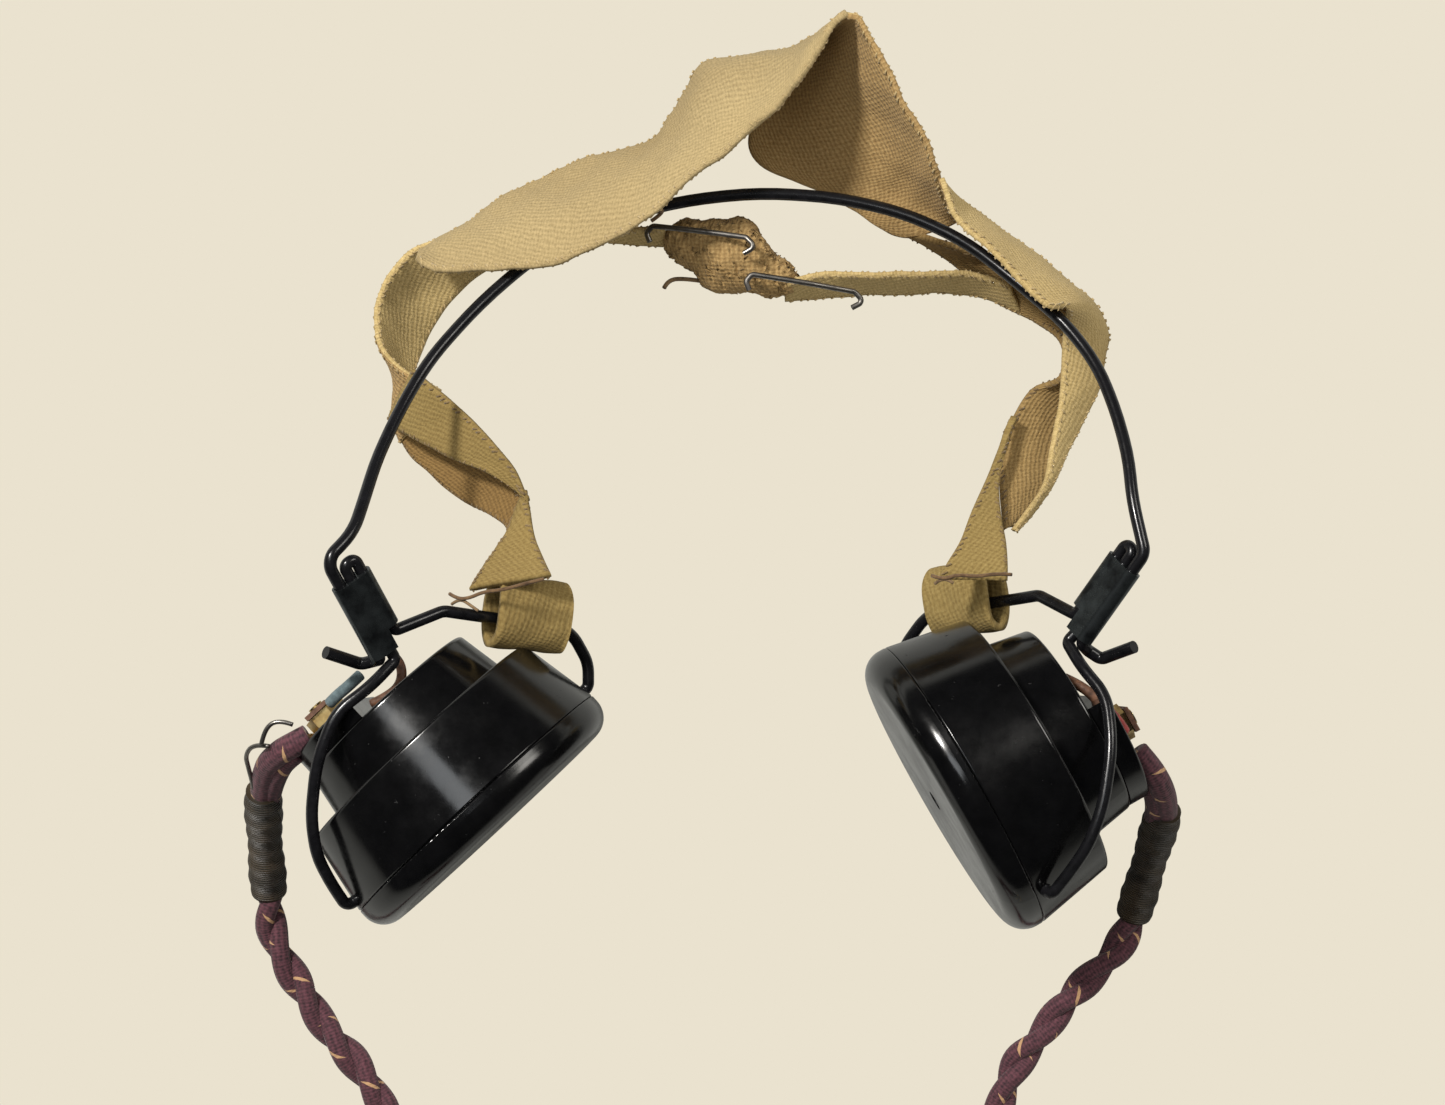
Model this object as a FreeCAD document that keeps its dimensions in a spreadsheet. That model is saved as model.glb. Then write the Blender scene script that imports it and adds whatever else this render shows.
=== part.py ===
"""Aviation headset: two magnetic earphones on wire yokes, a sprung wire headband and a webbing strap.

Row frame: the headset lies on its side on a table, as it is put down. +Z is up, +Y runs from the
earphones towards the top of the headband, +X from the left earphone to the right one. The origin is
on the table, in the middle of the headset's box without its cords. All lengths are millimetres.
"""
import FreeCAD
import Part
import math
import os

Vec = FreeCAD.Vector
doc = FreeCAD.newDocument("headset")
sheet = doc.addObject("Spreadsheet::Sheet", "Sizes")

SIZES = {
    # earphone
    "cap_radius": 30.25, "cap_depth": 6.2, "cap_round": 4.8, "cap_wall": 2.2, "cap_bore": 24.6,
    "drum_back_radius": 27.3, "drum_depth": 16.1, "drum_wall": 4.0,
    "neck_radius": 24.4, "neck_depth": 3.2,
    "body_front_radius": 21.2, "body_back_radius": 19.5, "body_depth": 9.7, "body_bore": 16.5,
    "back_wall": 2.4, "edge_round": 0.9, "seam_round": 0.35,
    "block_radius": 19.3, "block_height": 4.2, "block_round": 0.6,
    "pivot_back": 8.2, "pivot_clearance": 0.1,
    "sound_hole": 4.0,
    "diaphragm_radius": 24.2, "diaphragm_thick": 0.3,
    "magnet_outer": 15.5, "magnet_inner": 10.0, "magnet_thick": 5.0,
    "pole_wide": 8.0, "pole_thick": 2.2, "pole_tall": 10.5, "pole_gap": 9.0,
    "coil_wide": 13.0, "coil_thick": 6.6, "coil_tall": 7.0,
    "stud_radius": 1.5, "stud_tall": 4.6, "nut_flats": 6.4, "nut_tall": 2.3, "washer_tall": 0.7,
    "screw_head_radius": 2.4, "screw_head_tall": 1.7, "screw_shank": 3.0,
    "stud_spacing": 9.0, "tag_wide": 5.0, "tag_long": 17.0, "tag_thick": 0.9,
    # yoke, sleeve and headband
    "yoke_wire": 2.3, "band_wire": 2.4, "lane": 2.5,
    "sleeve_long": 16.3, "sleeve_wide": 8.4, "sleeve_thick": 3.6, "band_clearance": 0.09,
    "loop_outer": 4.4, "loop_inner": 3.1, "loop_wide": 15.5,
    # strap, pins and cords
    "strap_thick": 1.4, "pin_wire": 1.1,
    "cord": 6.4, "whipping": 7.2, "lead": 3.0, "hook_wire": 1.0,
    "coil_radius": 35.0, "coil_band": 7.4, "coil_high": 15.0,
    "plug_radius": 7.5, "plug_body": 38.0, "plug_sleeve_radius": 3.17, "plug_sleeve": 24.0,
    "plug_tip": 7.0, "bead_radius": 8.0, "bead_high": 8.0, "bead_long": 22.0,
}
for row, (alias, value) in enumerate(SIZES.items(), start=1):
    sheet.set("A%d" % row, alias)
    sheet.set("B%d" % row, repr(value))
    sheet.setAlias("B%d" % row, alias)
doc.recompute()

# where the two earphones lie: centre of the cap's face, heading of the ear side in the table's plane,
# upward tilt of the ear side, and how far the yoke's pivots are turned up out of that plane
EARPHONES = {
    "left": {"face": (-41.9, -69.1, 30.5), "heading": -46.9, "tilt": 2.0, "pivot_turn": 18.0, "side": 1},
    "right": {"face": (41.9, -64.1, 30.65), "heading": -150.5, "tilt": 3.5, "pivot_turn": 41.0, "side": -1},
}
YOKE_LEAN = 33.0            # between the earphone's axis and the yoke's plane at rest
SLEEVE_FOOT = (-3.7, 35.6)  # in the yoke's plane: along the pivots, and back from them
SLEEVE_LEAN = 6.03
BLOCK_EDGE = {"left": 2.7, "right": -2.5}
BAND_EXIT = {"left": 6.0, "right": 4.2}   # straight wire above the sleeve, before it bends past the hairpin
# moves the layout so that the origin is in the middle of the headset's box, on the table
ORIGIN_SHIFT = FreeCAD.Placement(Vec(-1.466, -0.494, -0.054), FreeCAD.Rotation())
FINISHED = []


def size(alias):
    """The value of one cell of the sheet."""
    return float(sheet.get(alias))


def unit(v):
    return Vec(v).normalize()


def feature(kind, name, **bound):
    """A Part primitive whose properties are bound to expressions over the sheet."""
    obj = doc.addObject("Part::" + kind, name)
    for prop, expression in bound.items():
        obj.setExpression(prop, expression)
    return obj


def cell(text):
    """Sheet.alias for every word of an expression that names a cell."""
    out = []
    for word in text.replace("(", "( ").replace(")", " )").split():
        out.append("Sizes." + word if word in SIZES else word)
    return " ".join(out)


def cylinder(name, radius, height, x=0.0, y=0.0, z="0"):
    obj = feature("Cylinder", name, Radius=cell(radius), Height=cell(height))
    obj.Placement.Base = Vec(x, y, 0)
    obj.setExpression(".Placement.Base.z", cell(z))
    return obj


def cone(name, front, back, height, z="0"):
    obj = feature("Cone", name, Radius1=cell(front), Radius2=cell(back), Height=cell(height))
    obj.setExpression(".Placement.Base.z", cell(z))
    return obj


def box(name, long, wide, high, x=0.0, y=0.0, z="0"):
    """A box centred on x and y, standing on z."""
    obj = feature("Box", name, Length=cell(long), Width=cell(wide), Height=cell(high))
    obj.setExpression(".Placement.Base.x", "%s - (%s) / 2" % (x, cell(long)))
    obj.setExpression(".Placement.Base.y", "%s - (%s) / 2" % (y, cell(wide)))
    obj.setExpression(".Placement.Base.z", cell(z))
    return obj


def fused(name, parts):
    obj = doc.addObject("Part::MultiFuse", name)
    obj.Shapes = parts
    return obj


def cut(name, base, tool):
    obj = doc.addObject("Part::Cut", name)
    obj.Base = base
    obj.Tool = tool
    return obj


def common(name, first, second):
    obj = doc.addObject("Part::Common", name)
    obj.Base = first
    obj.Tool = second
    return obj


def rounded(name, base, radius, wanted):
    """Fillets the circular edges of base whose (radius, height) is in wanted."""
    doc.recompute()
    picks = []
    for number, edge in enumerate(base.Shape.Edges, start=1):
        curve = edge.Curve
        if not isinstance(curve, Part.Circle):
            continue
        for edge_radius, height in wanted:
            if abs(curve.Radius - edge_radius) < 0.01 and abs(curve.Center.z - height) < 0.01:
                picks.append((number, radius, radius))
    obj = doc.addObject("Part::Fillet", name)
    obj.Base = base
    obj.Edges = picks
    return obj


def group(name, parts):
    """Separate solids kept together as one piece."""
    obj = doc.addObject("Part::Compound", name)
    obj.Links = parts
    return obj


def finish(obj, node, placement=None):
    """Names a finished piece, and puts it in its place."""
    obj.Label = node
    obj.Placement = ORIGIN_SHIFT * (obj.Placement if placement is None else placement)
    FINISHED.append(obj)
    return obj


def rounded_path(points, fixed=None):
    """Straight runs joined by tangent arcs through the corners of a route.

    An arc's radius is 0.45 of the shorter run over the tangent of half the turn, or fixed[i] there.
    Returns the wire, its first direction and the radii.
    """
    edges, radii = [], []
    start = Vec(points[0])
    for i in range(1, len(points) - 1):
        a, b, c = Vec(points[i - 1]), Vec(points[i]), Vec(points[i + 1])
        into, out = unit(b - a), unit(c - b)
        turn = into.getAngle(out)
        if turn < 1e-4:
            continue
        radius = 0.45 * min((b - a).Length, (c - b).Length) / math.tan(turn / 2)
        if fixed and i in fixed:
            radius = min(radius, fixed[i])
        reach = radius * math.tan(turn / 2)
        first, last = b - into * reach, b + out * reach
        inward = unit(out - into)
        middle = b + inward * (radius / math.cos(turn / 2) - radius)
        if (first - start).Length > 1e-6:
            edges.append(Part.LineSegment(start, first).toShape())
        edges.append(Part.Arc(first, middle, last).toShape())
        radii.append(radius)
        start = last
    edges.append(Part.LineSegment(start, Vec(points[-1])).toShape())
    return Part.Wire(edges), unit(Vec(points[1]) - Vec(points[0])), radii


def tube(node, points, diameter, fixed=None, placement=None, report=False):
    """A round wire or cord along a route, as a Part::Sweep of a bound circle."""
    wire, direction, radii = rounded_path(points, fixed)
    spine = doc.addObject("Part::Feature", node + "_route")
    spine.Shape = wire
    ring = feature("Circle", node + "_ring", Radius="Sizes.%s / 2" % diameter)
    ring.Placement = FreeCAD.Placement(Vec(points[0]), FreeCAD.Rotation(Vec(0, 0, 1), direction))
    sweep = doc.addObject("Part::Sweep", node + "_tube")
    sweep.Sections = [ring]
    sweep.Spine = (spine, ["Edge%d" % (n + 1) for n in range(len(wire.Edges))])
    sweep.Solid = True
    sweep.Frenet = False
    doc.recompute()
    ideal = math.pi * (size(diameter) / 2) ** 2 * wire.Length
    if abs(sweep.Shape.Volume / ideal - 1) > 0.02:
        raise ValueError("%s: swept volume %.1f, expected %.1f" % (node, sweep.Shape.Volume, ideal))
    if report:
        print(node, "length %.0f" % wire.Length, "radii", ["%.0f" % r for r in radii])
    return finish(sweep, node, placement)


def ribbon(node, stations):
    """A closed strip of webbing: stations are pairs of points, its two edges."""
    half = size("strap_thick") / 2
    middles = [(Vec(a) + Vec(b)) * 0.5 for a, b in stations]
    sections = []
    for i, (a, b) in enumerate(stations):
        ahead = middles[min(i + 1, len(stations) - 1)] - middles[max(i - 1, 0)]
        normal = unit((Vec(b) - Vec(a)).cross(ahead)) * half
        corners = [Vec(a) + normal, Vec(b) + normal, Vec(b) - normal, Vec(a) - normal]
        sections.append(Part.makePolygon(corners + [corners[0]]))
    obj = doc.addObject("Part::Feature", node)
    obj.Shape = Part.makeLoft(sections, True, True)
    return finish(obj, node)


def earphone_placement(name):
    """Local +X along the yoke's pivots, towards the near one; local +Z out of the earphone's back."""
    spec = EARPHONES[name]
    heading, tilt = math.radians(spec["heading"]), math.radians(spec["tilt"])
    ear = Vec(math.cos(heading) * math.cos(tilt), math.sin(heading) * math.cos(tilt), math.sin(tilt))
    back = ear * -1
    across = unit(Vec(-math.sin(heading), math.cos(heading), 0))
    up = unit(across.cross(ear)) if across.cross(ear).z > 0 else unit(ear.cross(across))
    turn = math.radians(spec["pivot_turn"])
    outward = across * -1 if name == "left" else across
    pivots = outward * math.cos(turn) + up * math.sin(turn)
    centre = Vec(*spec["face"]) + back * size("pivot_back")
    rotation = FreeCAD.Rotation(pivots, back.cross(pivots), back, "ZXY")
    return FreeCAD.Placement(centre, rotation)


def yoke_placement(name):
    """The earphone's frame leaned about its pivots into the plane of the yoke."""
    lean = FreeCAD.Rotation(Vec(1, 0, 0), -YOKE_LEAN * EARPHONES[name]["side"])
    return earphone_placement(name) * FreeCAD.Placement(Vec(0, 0, 0), lean)


def block_turn(name):
    """Turn of the terminal block about the earphone's axis, so that its step stands upright."""
    return EARPHONES[name]["pivot_turn"] * EARPHONES[name]["side"]


def build_earphone(name):
    place = earphone_placement(name)
    tag = name + "_"
    face = "0 - pivot_back"
    # ear cap: rounded disc with a shallow bore behind and a ring of sound holes
    disc = cylinder(tag + "cap_disc", "cap_radius", "cap_depth", z=face)
    disc = rounded(tag + "cap_blank", disc, size("cap_round"), [(size("cap_radius"), -size("pivot_back"))])
    seam_z = size("cap_depth") - size("pivot_back")
    disc = rounded(tag + "cap_soft", disc, size("seam_round"), [(size("cap_radius"), seam_z)])
    tools = [cylinder(tag + "cap_hollow", "cap_bore", "cap_depth", z=face + " + cap_wall")]
    tools.append(cylinder(tag + "hole", "sound_hole / 2", "cap_depth", z=face + " - 1"))
    finish(cut(tag + "cap", disc, fused(tag + "cap_tools", tools)), tag + "ear_cap", place)

    # case: tapered drum, narrower back body and the neck that the cap screws over
    seam = face + " + cap_depth"
    shoulder = seam + " + drum_depth"
    back = shoulder + " + body_depth"
    outer = fused(tag + "case_outer", [
        cone(tag + "drum", "cap_radius", "drum_back_radius", "drum_depth", seam),
        cone(tag + "body", "body_front_radius", "body_back_radius", "body_depth", shoulder),
        cylinder(tag + "neck", "neck_radius", "neck_depth", z=seam + " - neck_depth"),
    ])
    seam_z = size("cap_depth") - size("pivot_back")
    shoulder_z = seam_z + size("drum_depth")
    back_z = shoulder_z + size("body_depth")
    outer = rounded(tag + "case_blank", outer, size("edge_round"), [
        (size("drum_back_radius"), shoulder_z), (size("body_back_radius"), back_z)])
    outer = rounded(tag + "case_soft", outer, size("seam_round"), [(size("cap_radius"), seam_z)])
    hollow = fused(tag + "case_hollow", [
        cylinder(tag + "drum_hollow", "neck_radius - 2", "drum_depth + neck_depth - drum_wall",
                 z=seam + " - neck_depth - 0.01"),
        cylinder(tag + "body_hollow", "body_bore", "body_depth + drum_wall - back_wall + 0.1",
                 z=shoulder + " - drum_wall - 0.1"),
    ])
    pin_hole = feature("Cylinder", tag + "pin_hole",
                       Radius="Sizes.yoke_wire / 2 + Sizes.pivot_clearance", Height="Sizes.cap_radius * 2.2")
    pin_hole.Placement = FreeCAD.Placement(Vec(-size("cap_radius") * 1.1, 0, 0),
                                           FreeCAD.Rotation(Vec(0, 1, 0), 90))
    studs = [cylinder(tag + "stud_hole_%d" % i, "stud_radius", "back_wall + 2", x, y, back + " - back_wall - 1")
             for i, (x, y) in enumerate(stud_places(name))]
    tools = fused(tag + "case_tools", [hollow, pin_hole] + studs)
    finish(cut(tag + "case", outer, tools), tag + "receiver_case", place)

    build_inside(name, place, seam, shoulder)
    build_terminals(name, place, back)


def block_frame(name):
    """Directions of the block's length, away from its step, and of the step's line."""
    turn = math.radians(-block_turn(name))
    outward = Vec(math.cos(turn), math.sin(turn), 0)
    return outward, Vec(-outward.y, outward.x, 0)


def stud_places(name):
    """Places of the two terminal studs on the earphone's back."""
    outward, sideways = block_frame(name)
    middle = outward * (BLOCK_EDGE[name] + 6.9)
    half = size("stud_spacing") / 2
    return [((middle + sideways * s * half).x, (middle + sideways * s * half).y) for s in (1, -1)]


def build_inside(name, place, seam, shoulder):
    tag = name + "_"
    disc = cylinder(tag + "disc", "diaphragm_radius", "diaphragm_thick", z=seam + " - neck_depth - diaphragm_thick")
    finish(group(tag + "disc_piece", [disc]), tag + "diaphragm", place)
    floor_z = shoulder + " - drum_wall + 1.5"
    ring = cut(tag + "magnet_ring",
               cylinder(tag + "magnet_outer", "magnet_outer", "magnet_thick", z=floor_z),
               cylinder(tag + "magnet_hollow", "magnet_inner", "magnet_thick + 1", z=floor_z + " - 0.5"))
    finish(ring, tag + "magnet", place)
    poles, coils = [], []
    pole_top = floor_z + " - pole_tall"
    for i, side in enumerate((1, -1)):
        x = side * size("pole_gap") / 2
        poles.append(box(tag + "pole_%d" % i, "pole_thick", "pole_wide", "pole_tall", x, 0.0, pole_top))
        winding = box(tag + "winding_%d" % i, "coil_thick", "coil_wide", "coil_tall", x, 0.0, pole_top + " + 1.5")
        slot = box(tag + "winding_slot_%d" % i, "pole_thick + 0.2", "pole_wide + 0.2", "coil_tall + 1",
                   x, 0.0, pole_top + " + 1")
        coils.append(cut(tag + "coil_%d" % i, winding, slot))
    yoke_bar = box(tag + "pole_bar", "magnet_inner * 2 - 0.4", "pole_wide", "pole_thick", 0.0, 0.0, floor_z)
    finish(fused(tag + "poles", poles + [yoke_bar]), tag + "pole_pieces", place)
    finish(group(tag + "coil_pair", coils), tag + "coils", place)


def build_terminals(name, place, back):
    tag = name + "_"
    outward, sideways = block_frame(name)
    rotation = FreeCAD.Rotation(Vec(0, 0, 1), -block_turn(name))
    disc = cylinder(tag + "block_disc", "block_radius", "block_height", z=back)
    keep = feature("Box", tag + "block_keep", Length="Sizes.block_radius * 2",
                   Width="Sizes.block_radius * 2.4", Height="Sizes.block_height + 2")
    corner = outward * BLOCK_EDGE[name] - sideways * size("block_radius") * 1.2
    back_z = size("cap_depth") - size("pivot_back") + size("drum_depth") + size("body_depth")
    keep.Placement = FreeCAD.Placement(corner + Vec(0, 0, back_z - 1), rotation)
    blank = common(tag + "block_blank", disc, keep)
    holes = [cylinder(tag + "block_hole_%d" % i, "stud_radius", "block_height + 2", x, y, back + " - 1")
             for i, (x, y) in enumerate(stud_places(name))]
    screw_spots = screw_places(name)
    holes += [cylinder(tag + "screw_hole_%d" % i, "1.2", "screw_shank", x, y,
                       back + " + block_height - screw_shank + 0.01") for i, (x, y) in enumerate(screw_spots)]
    blank = rounded(tag + "block_soft", blank, size("block_round"),
                    [(size("block_radius"), back_z + size("block_height"))])
    finish(cut(tag + "block", blank, fused(tag + "block_holes", holes)), tag + "terminal_block", place)

    top = back + " + block_height"
    nuts = []
    for i, (x, y) in enumerate(stud_places(name)):
        rod = cylinder(tag + "stud_%d" % i, "stud_radius", "stud_tall + block_height + back_wall", x, y,
                       back + " - back_wall")
        washer = cylinder(tag + "washer_%d" % i, "nut_flats * 0.56", "washer_tall", x, y, top)
        nut = feature("Prism", tag + "nut_%d" % i, Circumradius="Sizes.nut_flats / 1.732",
                      Height="Sizes.nut_tall")
        nut.Placement = FreeCAD.Placement(Vec(x, y, 0), rotation)
        nut.setExpression(".Placement.Base.z", cell(top + " + washer_tall"))
        nuts.append(fused(tag + "nut_stack_%d" % i, [rod, washer, nut]))
    finish(group(tag + "nut_pair", nuts), tag + "terminal_nuts", place)

    tag_z = size("washer_tall") + size("nut_tall") + 0.05
    strip = feature("Box", tag + "strip", Length="Sizes.tag_wide", Width="Sizes.tag_long",
                    Height="Sizes.tag_thick")
    middle = outward * (BLOCK_EDGE[name] + 6.9)
    corner = middle - outward * size("tag_wide") / 2 - sideways * size("tag_long") / 2
    strip.Placement = FreeCAD.Placement(corner + Vec(0, 0, back_z + size("block_height") + tag_z), rotation)
    strip_holes = [cylinder(tag + "tag_hole_%d" % i, "stud_radius + 0.05", "4", x, y, top + " + washer_tall + nut_tall - 1")
                   for i, (x, y) in enumerate(stud_places(name))]
    finish(cut(tag + "tag_strip_cut", strip, fused(tag + "tag_holes", strip_holes)), tag + "tag_strip", place)

    screws = []
    for i, (x, y) in enumerate(screw_spots):
        head = cylinder(tag + "screw_head_%d" % i, "screw_head_radius", "screw_head_tall", x, y, top)
        head = rounded(tag + "screw_dome_%d" % i, head, size("screw_head_tall") * 0.8,
                       [(size("screw_head_radius"), back_z + size("block_height") + size("screw_head_tall"))])
        shank = cylinder(tag + "screw_shank_%d" % i, "1.2", "screw_shank", x, y, top + " - screw_shank + 0.01")
        screws.append(fused(tag + "screw_%d" % i, [head, shank]))
    finish(group(tag + "screw_pair", screws), tag + "terminal_screws", place)


def screw_places(name):
    """Places of the two screws that hold the block, near its outer edge."""
    outward, sideways = block_frame(name)
    middle = outward * (size("block_radius") - 3.6)
    return [((middle + sideways * s * 4.0).x, (middle + sideways * s * 4.0).y) for s in (1, -1)]


def lane_point(lane, along, away=0.0):
    """A point in the yoke's frame: lane 1 holds the headband, 0 the near leg and -1 the strap bar."""
    lean = math.radians(SLEEVE_LEAN)
    axis = Vec(-math.sin(lean), 0, math.cos(lean))
    across = Vec(math.cos(lean), 0, math.sin(lean))
    foot = Vec(SLEEVE_FOOT[0], 0, SLEEVE_FOOT[1])
    return foot + axis * along + across * (lane * size("lane")) + Vec(0, away, 0)


def yoke_route(side):
    """The yoke wire, from the near pivot through both lanes of the sleeve to the far pivot."""
    top = size("sleeve_long")
    return [Vec(27.2, 0, 0), Vec(31.9, 0, 0), Vec(31.6, 0, 6.5), Vec(30.6, 0, 13.0), Vec(27.2, 0, 19.8),
            Vec(20.0, 0, 28.0), Vec(11.5, 0, 33.0), Vec(3.8, 1.5 * side, 33.0), Vec(-3.4, 0.6 * side, 33.2),
            lane_point(0, 0.2), lane_point(0, top + 3.0), lane_point(-1, top + 3.0), lane_point(-1, 2.4),
            Vec(-16.5, 0, 33.9), Vec(-22.0, 0, 27.6), Vec(-35.3, 0, 12.7),
            Vec(-34.6, 0, 4.0), Vec(-31.9, 0, 0), Vec(-27.2, 0, 0)]


YOKE_BENDS = {1: 1.7, 8: 1.2, 9: 1.5, 10: 1.25, 11: 1.25, 12: 1.4, 13: 4.0, 17: 1.7}


def build_yoke(name):
    place = yoke_placement(name)
    tag = name + "_"
    tube(tag + "yoke", yoke_route(EARPHONES[name]["side"]), "yoke_wire", YOKE_BENDS, place)

    # sleeve: a folded sheet clip with one channel for each wire
    lean = FreeCAD.Rotation(Vec(0, 1, 0), -SLEEVE_LEAN)
    seat = FreeCAD.Placement(lane_point(0, 0), lean)
    slab = feature("Box", tag + "sleeve_slab", Length="Sizes.sleeve_wide - Sizes.sleeve_thick",
                   Width="Sizes.sleeve_thick", Height="Sizes.sleeve_long")
    half_flat = (size("sleeve_wide") - size("sleeve_thick")) / 2
    slab.Placement = seat * FreeCAD.Placement(Vec(-half_flat, -size("sleeve_thick") / 2, 0), FreeCAD.Rotation())
    parts = [slab]
    for side in (1, -1):
        edge = feature("Cylinder", tag + "sleeve_edge_%d" % side, Radius="Sizes.sleeve_thick / 2",
                       Height="Sizes.sleeve_long")
        edge.Placement = seat * FreeCAD.Placement(Vec(side * half_flat, 0, 0), FreeCAD.Rotation())
        parts.append(edge)
    bores = []
    for lane, extra in ((1, "Sizes.band_wire / 2 + Sizes.band_clearance"),
                        (0, "Sizes.yoke_wire / 2"), (-1, "Sizes.yoke_wire / 2")):
        bore = feature("Cylinder", tag + "sleeve_bore_%d" % lane, Radius=extra, Height="Sizes.sleeve_long + 2")
        bore.Placement = seat * FreeCAD.Placement(Vec(lane * size("lane"), 0, -1), FreeCAD.Rotation())
        bores.append(bore)
    flare = feature("Cone", tag + "sleeve_flare", Radius1="Sizes.band_wire / 2 + 0.5",
                    Radius2="Sizes.band_wire / 2 + Sizes.band_clearance", Height="1.2")
    flare.Placement = seat * FreeCAD.Placement(Vec(size("lane"), 0, -0.01), FreeCAD.Rotation())
    notch = feature("Box", tag + "sleeve_notch", Length="Sizes.lane * 2", Width="Sizes.sleeve_thick * 2",
                    Height="4.4")
    corner = Vec(-size("lane") * 0.5 - size("lane") * 2, -size("sleeve_thick"), -0.2)
    notch.Placement = seat * FreeCAD.Placement(corner, FreeCAD.Rotation())
    clip = cut(tag + "sleeve_clip", fused(tag + "sleeve_blank", parts),
               fused(tag + "sleeve_bores", bores + [flare, notch]))
    finish(clip, tag + "sleeve", place)

    # the strap's end, sewn round the far leg's bar
    bar_top, bar_foot = Vec(-21.5, 0, 27.3), Vec(-35.3, 0, 12.7)
    along = unit(bar_foot - bar_top)
    outward = unit(Vec(along.z, 0, -along.x))
    start = (bar_top + bar_foot) * 0.5 + outward * 1.2 - along * size("loop_wide") / 2
    turn = FreeCAD.Rotation(Vec(0, 0, 1), along)
    sewn = feature("Cylinder", tag + "loop_outer", Radius="Sizes.loop_outer", Height="Sizes.loop_wide")
    sewn.Placement = FreeCAD.Placement(start, turn)
    inner = feature("Cylinder", tag + "loop_inner", Radius="Sizes.loop_inner", Height="Sizes.loop_wide + 2")
    inner.Placement = FreeCAD.Placement(start - along, turn)
    finish(cut(tag + "loop_ring", sewn, inner), tag + "strap_loop", place)


def build_headband():
    """One sprung wire, hooked at each end below the sleeve that turns on it."""
    ends = {}
    for name in ("left", "right"):
        place = yoke_placement(name)
        side = EARPHONES[name]["side"]
        hook = [Vec(5.5, -4.5 * side, 41.5), Vec(1.2, -4.8 * side, 34.5), Vec(-0.8, -2.6 * side, 34.3),
                lane_point(1, -0.7), lane_point(1, size("sleeve_long") + BAND_EXIT[name])]
        ends[name] = [place.multVec(p) for p in hook]
    arc = [Vec(*p) for p in HEADBAND_ARC]
    points = ends["left"] + arc + ends["right"][::-1]
    last = len(points) - 1
    bends = {1: 1.4, 2: 1.4, 3: 1.4, 4: 3.0, last - 4: 3.0, last - 3: 1.4, last - 2: 1.4, last - 1: 1.4}
    tube("headband_wire", points, "band_wire", bends)


HEADBAND_ARC = [(-67.2, -12.7, 54.0), (-65.7, -6.6, 49.5), (-63.9, 1.0, 44.5), (-60.3, 10.5, 38),
                (-55.2, 20.5, 32), (-45.8, 32.0, 26), (-34.3, 42.4, 21), (-20.6, 49.2, 17.5),
                (-5.7, 53.0, 15.6), (8.5, 54.5, 15), (23.8, 53.5, 15.2), (37.0, 50.3, 16.5), (48.6, 44.6, 19),
                (58.6, 36.2, 22.5), (67.5, 27.8, 27), (73.1, 19.3, 32), (76.0, 10.1, 37.5), (77.7, 1.4, 42),
                (78.0, -6.6, 45.5)]

STRAP_LEFT = [((-31.4, -19.0, 43), (-45.0, -20.4, 43)), ((-34.2, -13.6, 30), (-40.8, -13.8, 41)),
              ((-37.6, -5.4, 26), (-41.8, -10.4, 28)), ((-40.8, 3.4, 27), (-48.6, -5.8, 20)),
              ((-47.2, 9.8, 25), (-56.8, -0.6, 15)), ((-56.7, 16.6, 19), (-63.3, 7.0, 8.5)),
              ((-62.8, 20.6, 13), (-65.6, 12.8, 3)), ((-66.8, 27.6, 13), (-61.6, 21.0, 2)),
              ((-64.8, 37.8, 13), (-54.6, 32.6, 2)), ((-57.4, 44.4, 11), (-46.4, 39.4, 2))]
STRAP_TOP = [((-54.4, 40.4, 22), (-57.6, 46.4, 13.5)), ((-42.4, 38.8, 27), (-43.8, 54.0, 4)),
             ((-30.3, 40.0, 28.5), (-31.6, 60.5, 2)), ((-20.6, 44.0, 28.5), (-21.5, 64.0, 1.5)),
             ((-12.5, 49.5, 28), (-13.1, 66.4, 1.5)), ((-2.3, 57.7, 29), (-5.8, 75.1, 1.5)),
             ((4.1, 62.9, 30), (-0.4, 80.7, 1.5)), ((12.2, 69.5, 30), (9.7, 82.9, 1.5)),
             ((17.6, 77.3, 29), (16.7, 85.4, 2)), ((23.4, 86.4, 27), (23.6, 89.2, 3))]
STRAP_BACK = [((26.4, 86.6, 26.5), (25.6, 88.2, 3)), ((28.8, 82.2, 27), (19.2, 81.6, 1)),
              ((32.7, 76.5, 27), (12.6, 74.0, 1)), ((37.0, 69.6, 26), (8.6, 66.4, 1)),
              ((40.4, 63.0, 25), (12.0, 60.6, 1)), ((43.7, 55.9, 12), (20.4, 57.0, 1)),
              ((46.8, 51.6, 6), (28.0, 52.7, 1))]
STRAP_RIGHT = [((48.0, 51.0, 5), (28.9, 52.1, 1)), ((53.4, 46.9, 13), (36.4, 46.6, 1)),
               ((60.4, 43.2, 20), (45.2, 39.0, 1.5)), ((69.4, 38.6, 22), (53.0, 30.6, 2)),
               ((75.6, 31.4, 18), (62.6, 24.6, 2)), ((76.8, 24.0, 14), (67.6, 20.2, 3)),
               ((74.8, 16.8, 9), (64.4, 16.0, 8)), ((72.2, 10.4, 9), (58.6, 9.6, 16)),
               ((67.4, 2.0, 12), (54.4, 0.8, 20)), ((61.6, -7.2, 18), (50.2, -7.2, 24)),
               ((56.2, -12.6, 27), (47.4, -12.4, 27)), ((55.4, -15.4, 32), (43.4, -16.6, 30))]
STRAP_CROSS = [((-17.2, 46.2, 9), (-17.2, 45.2, 3)), ((-9.5, 46.9, 9), (-9.5, 45.6, 2))]
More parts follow.
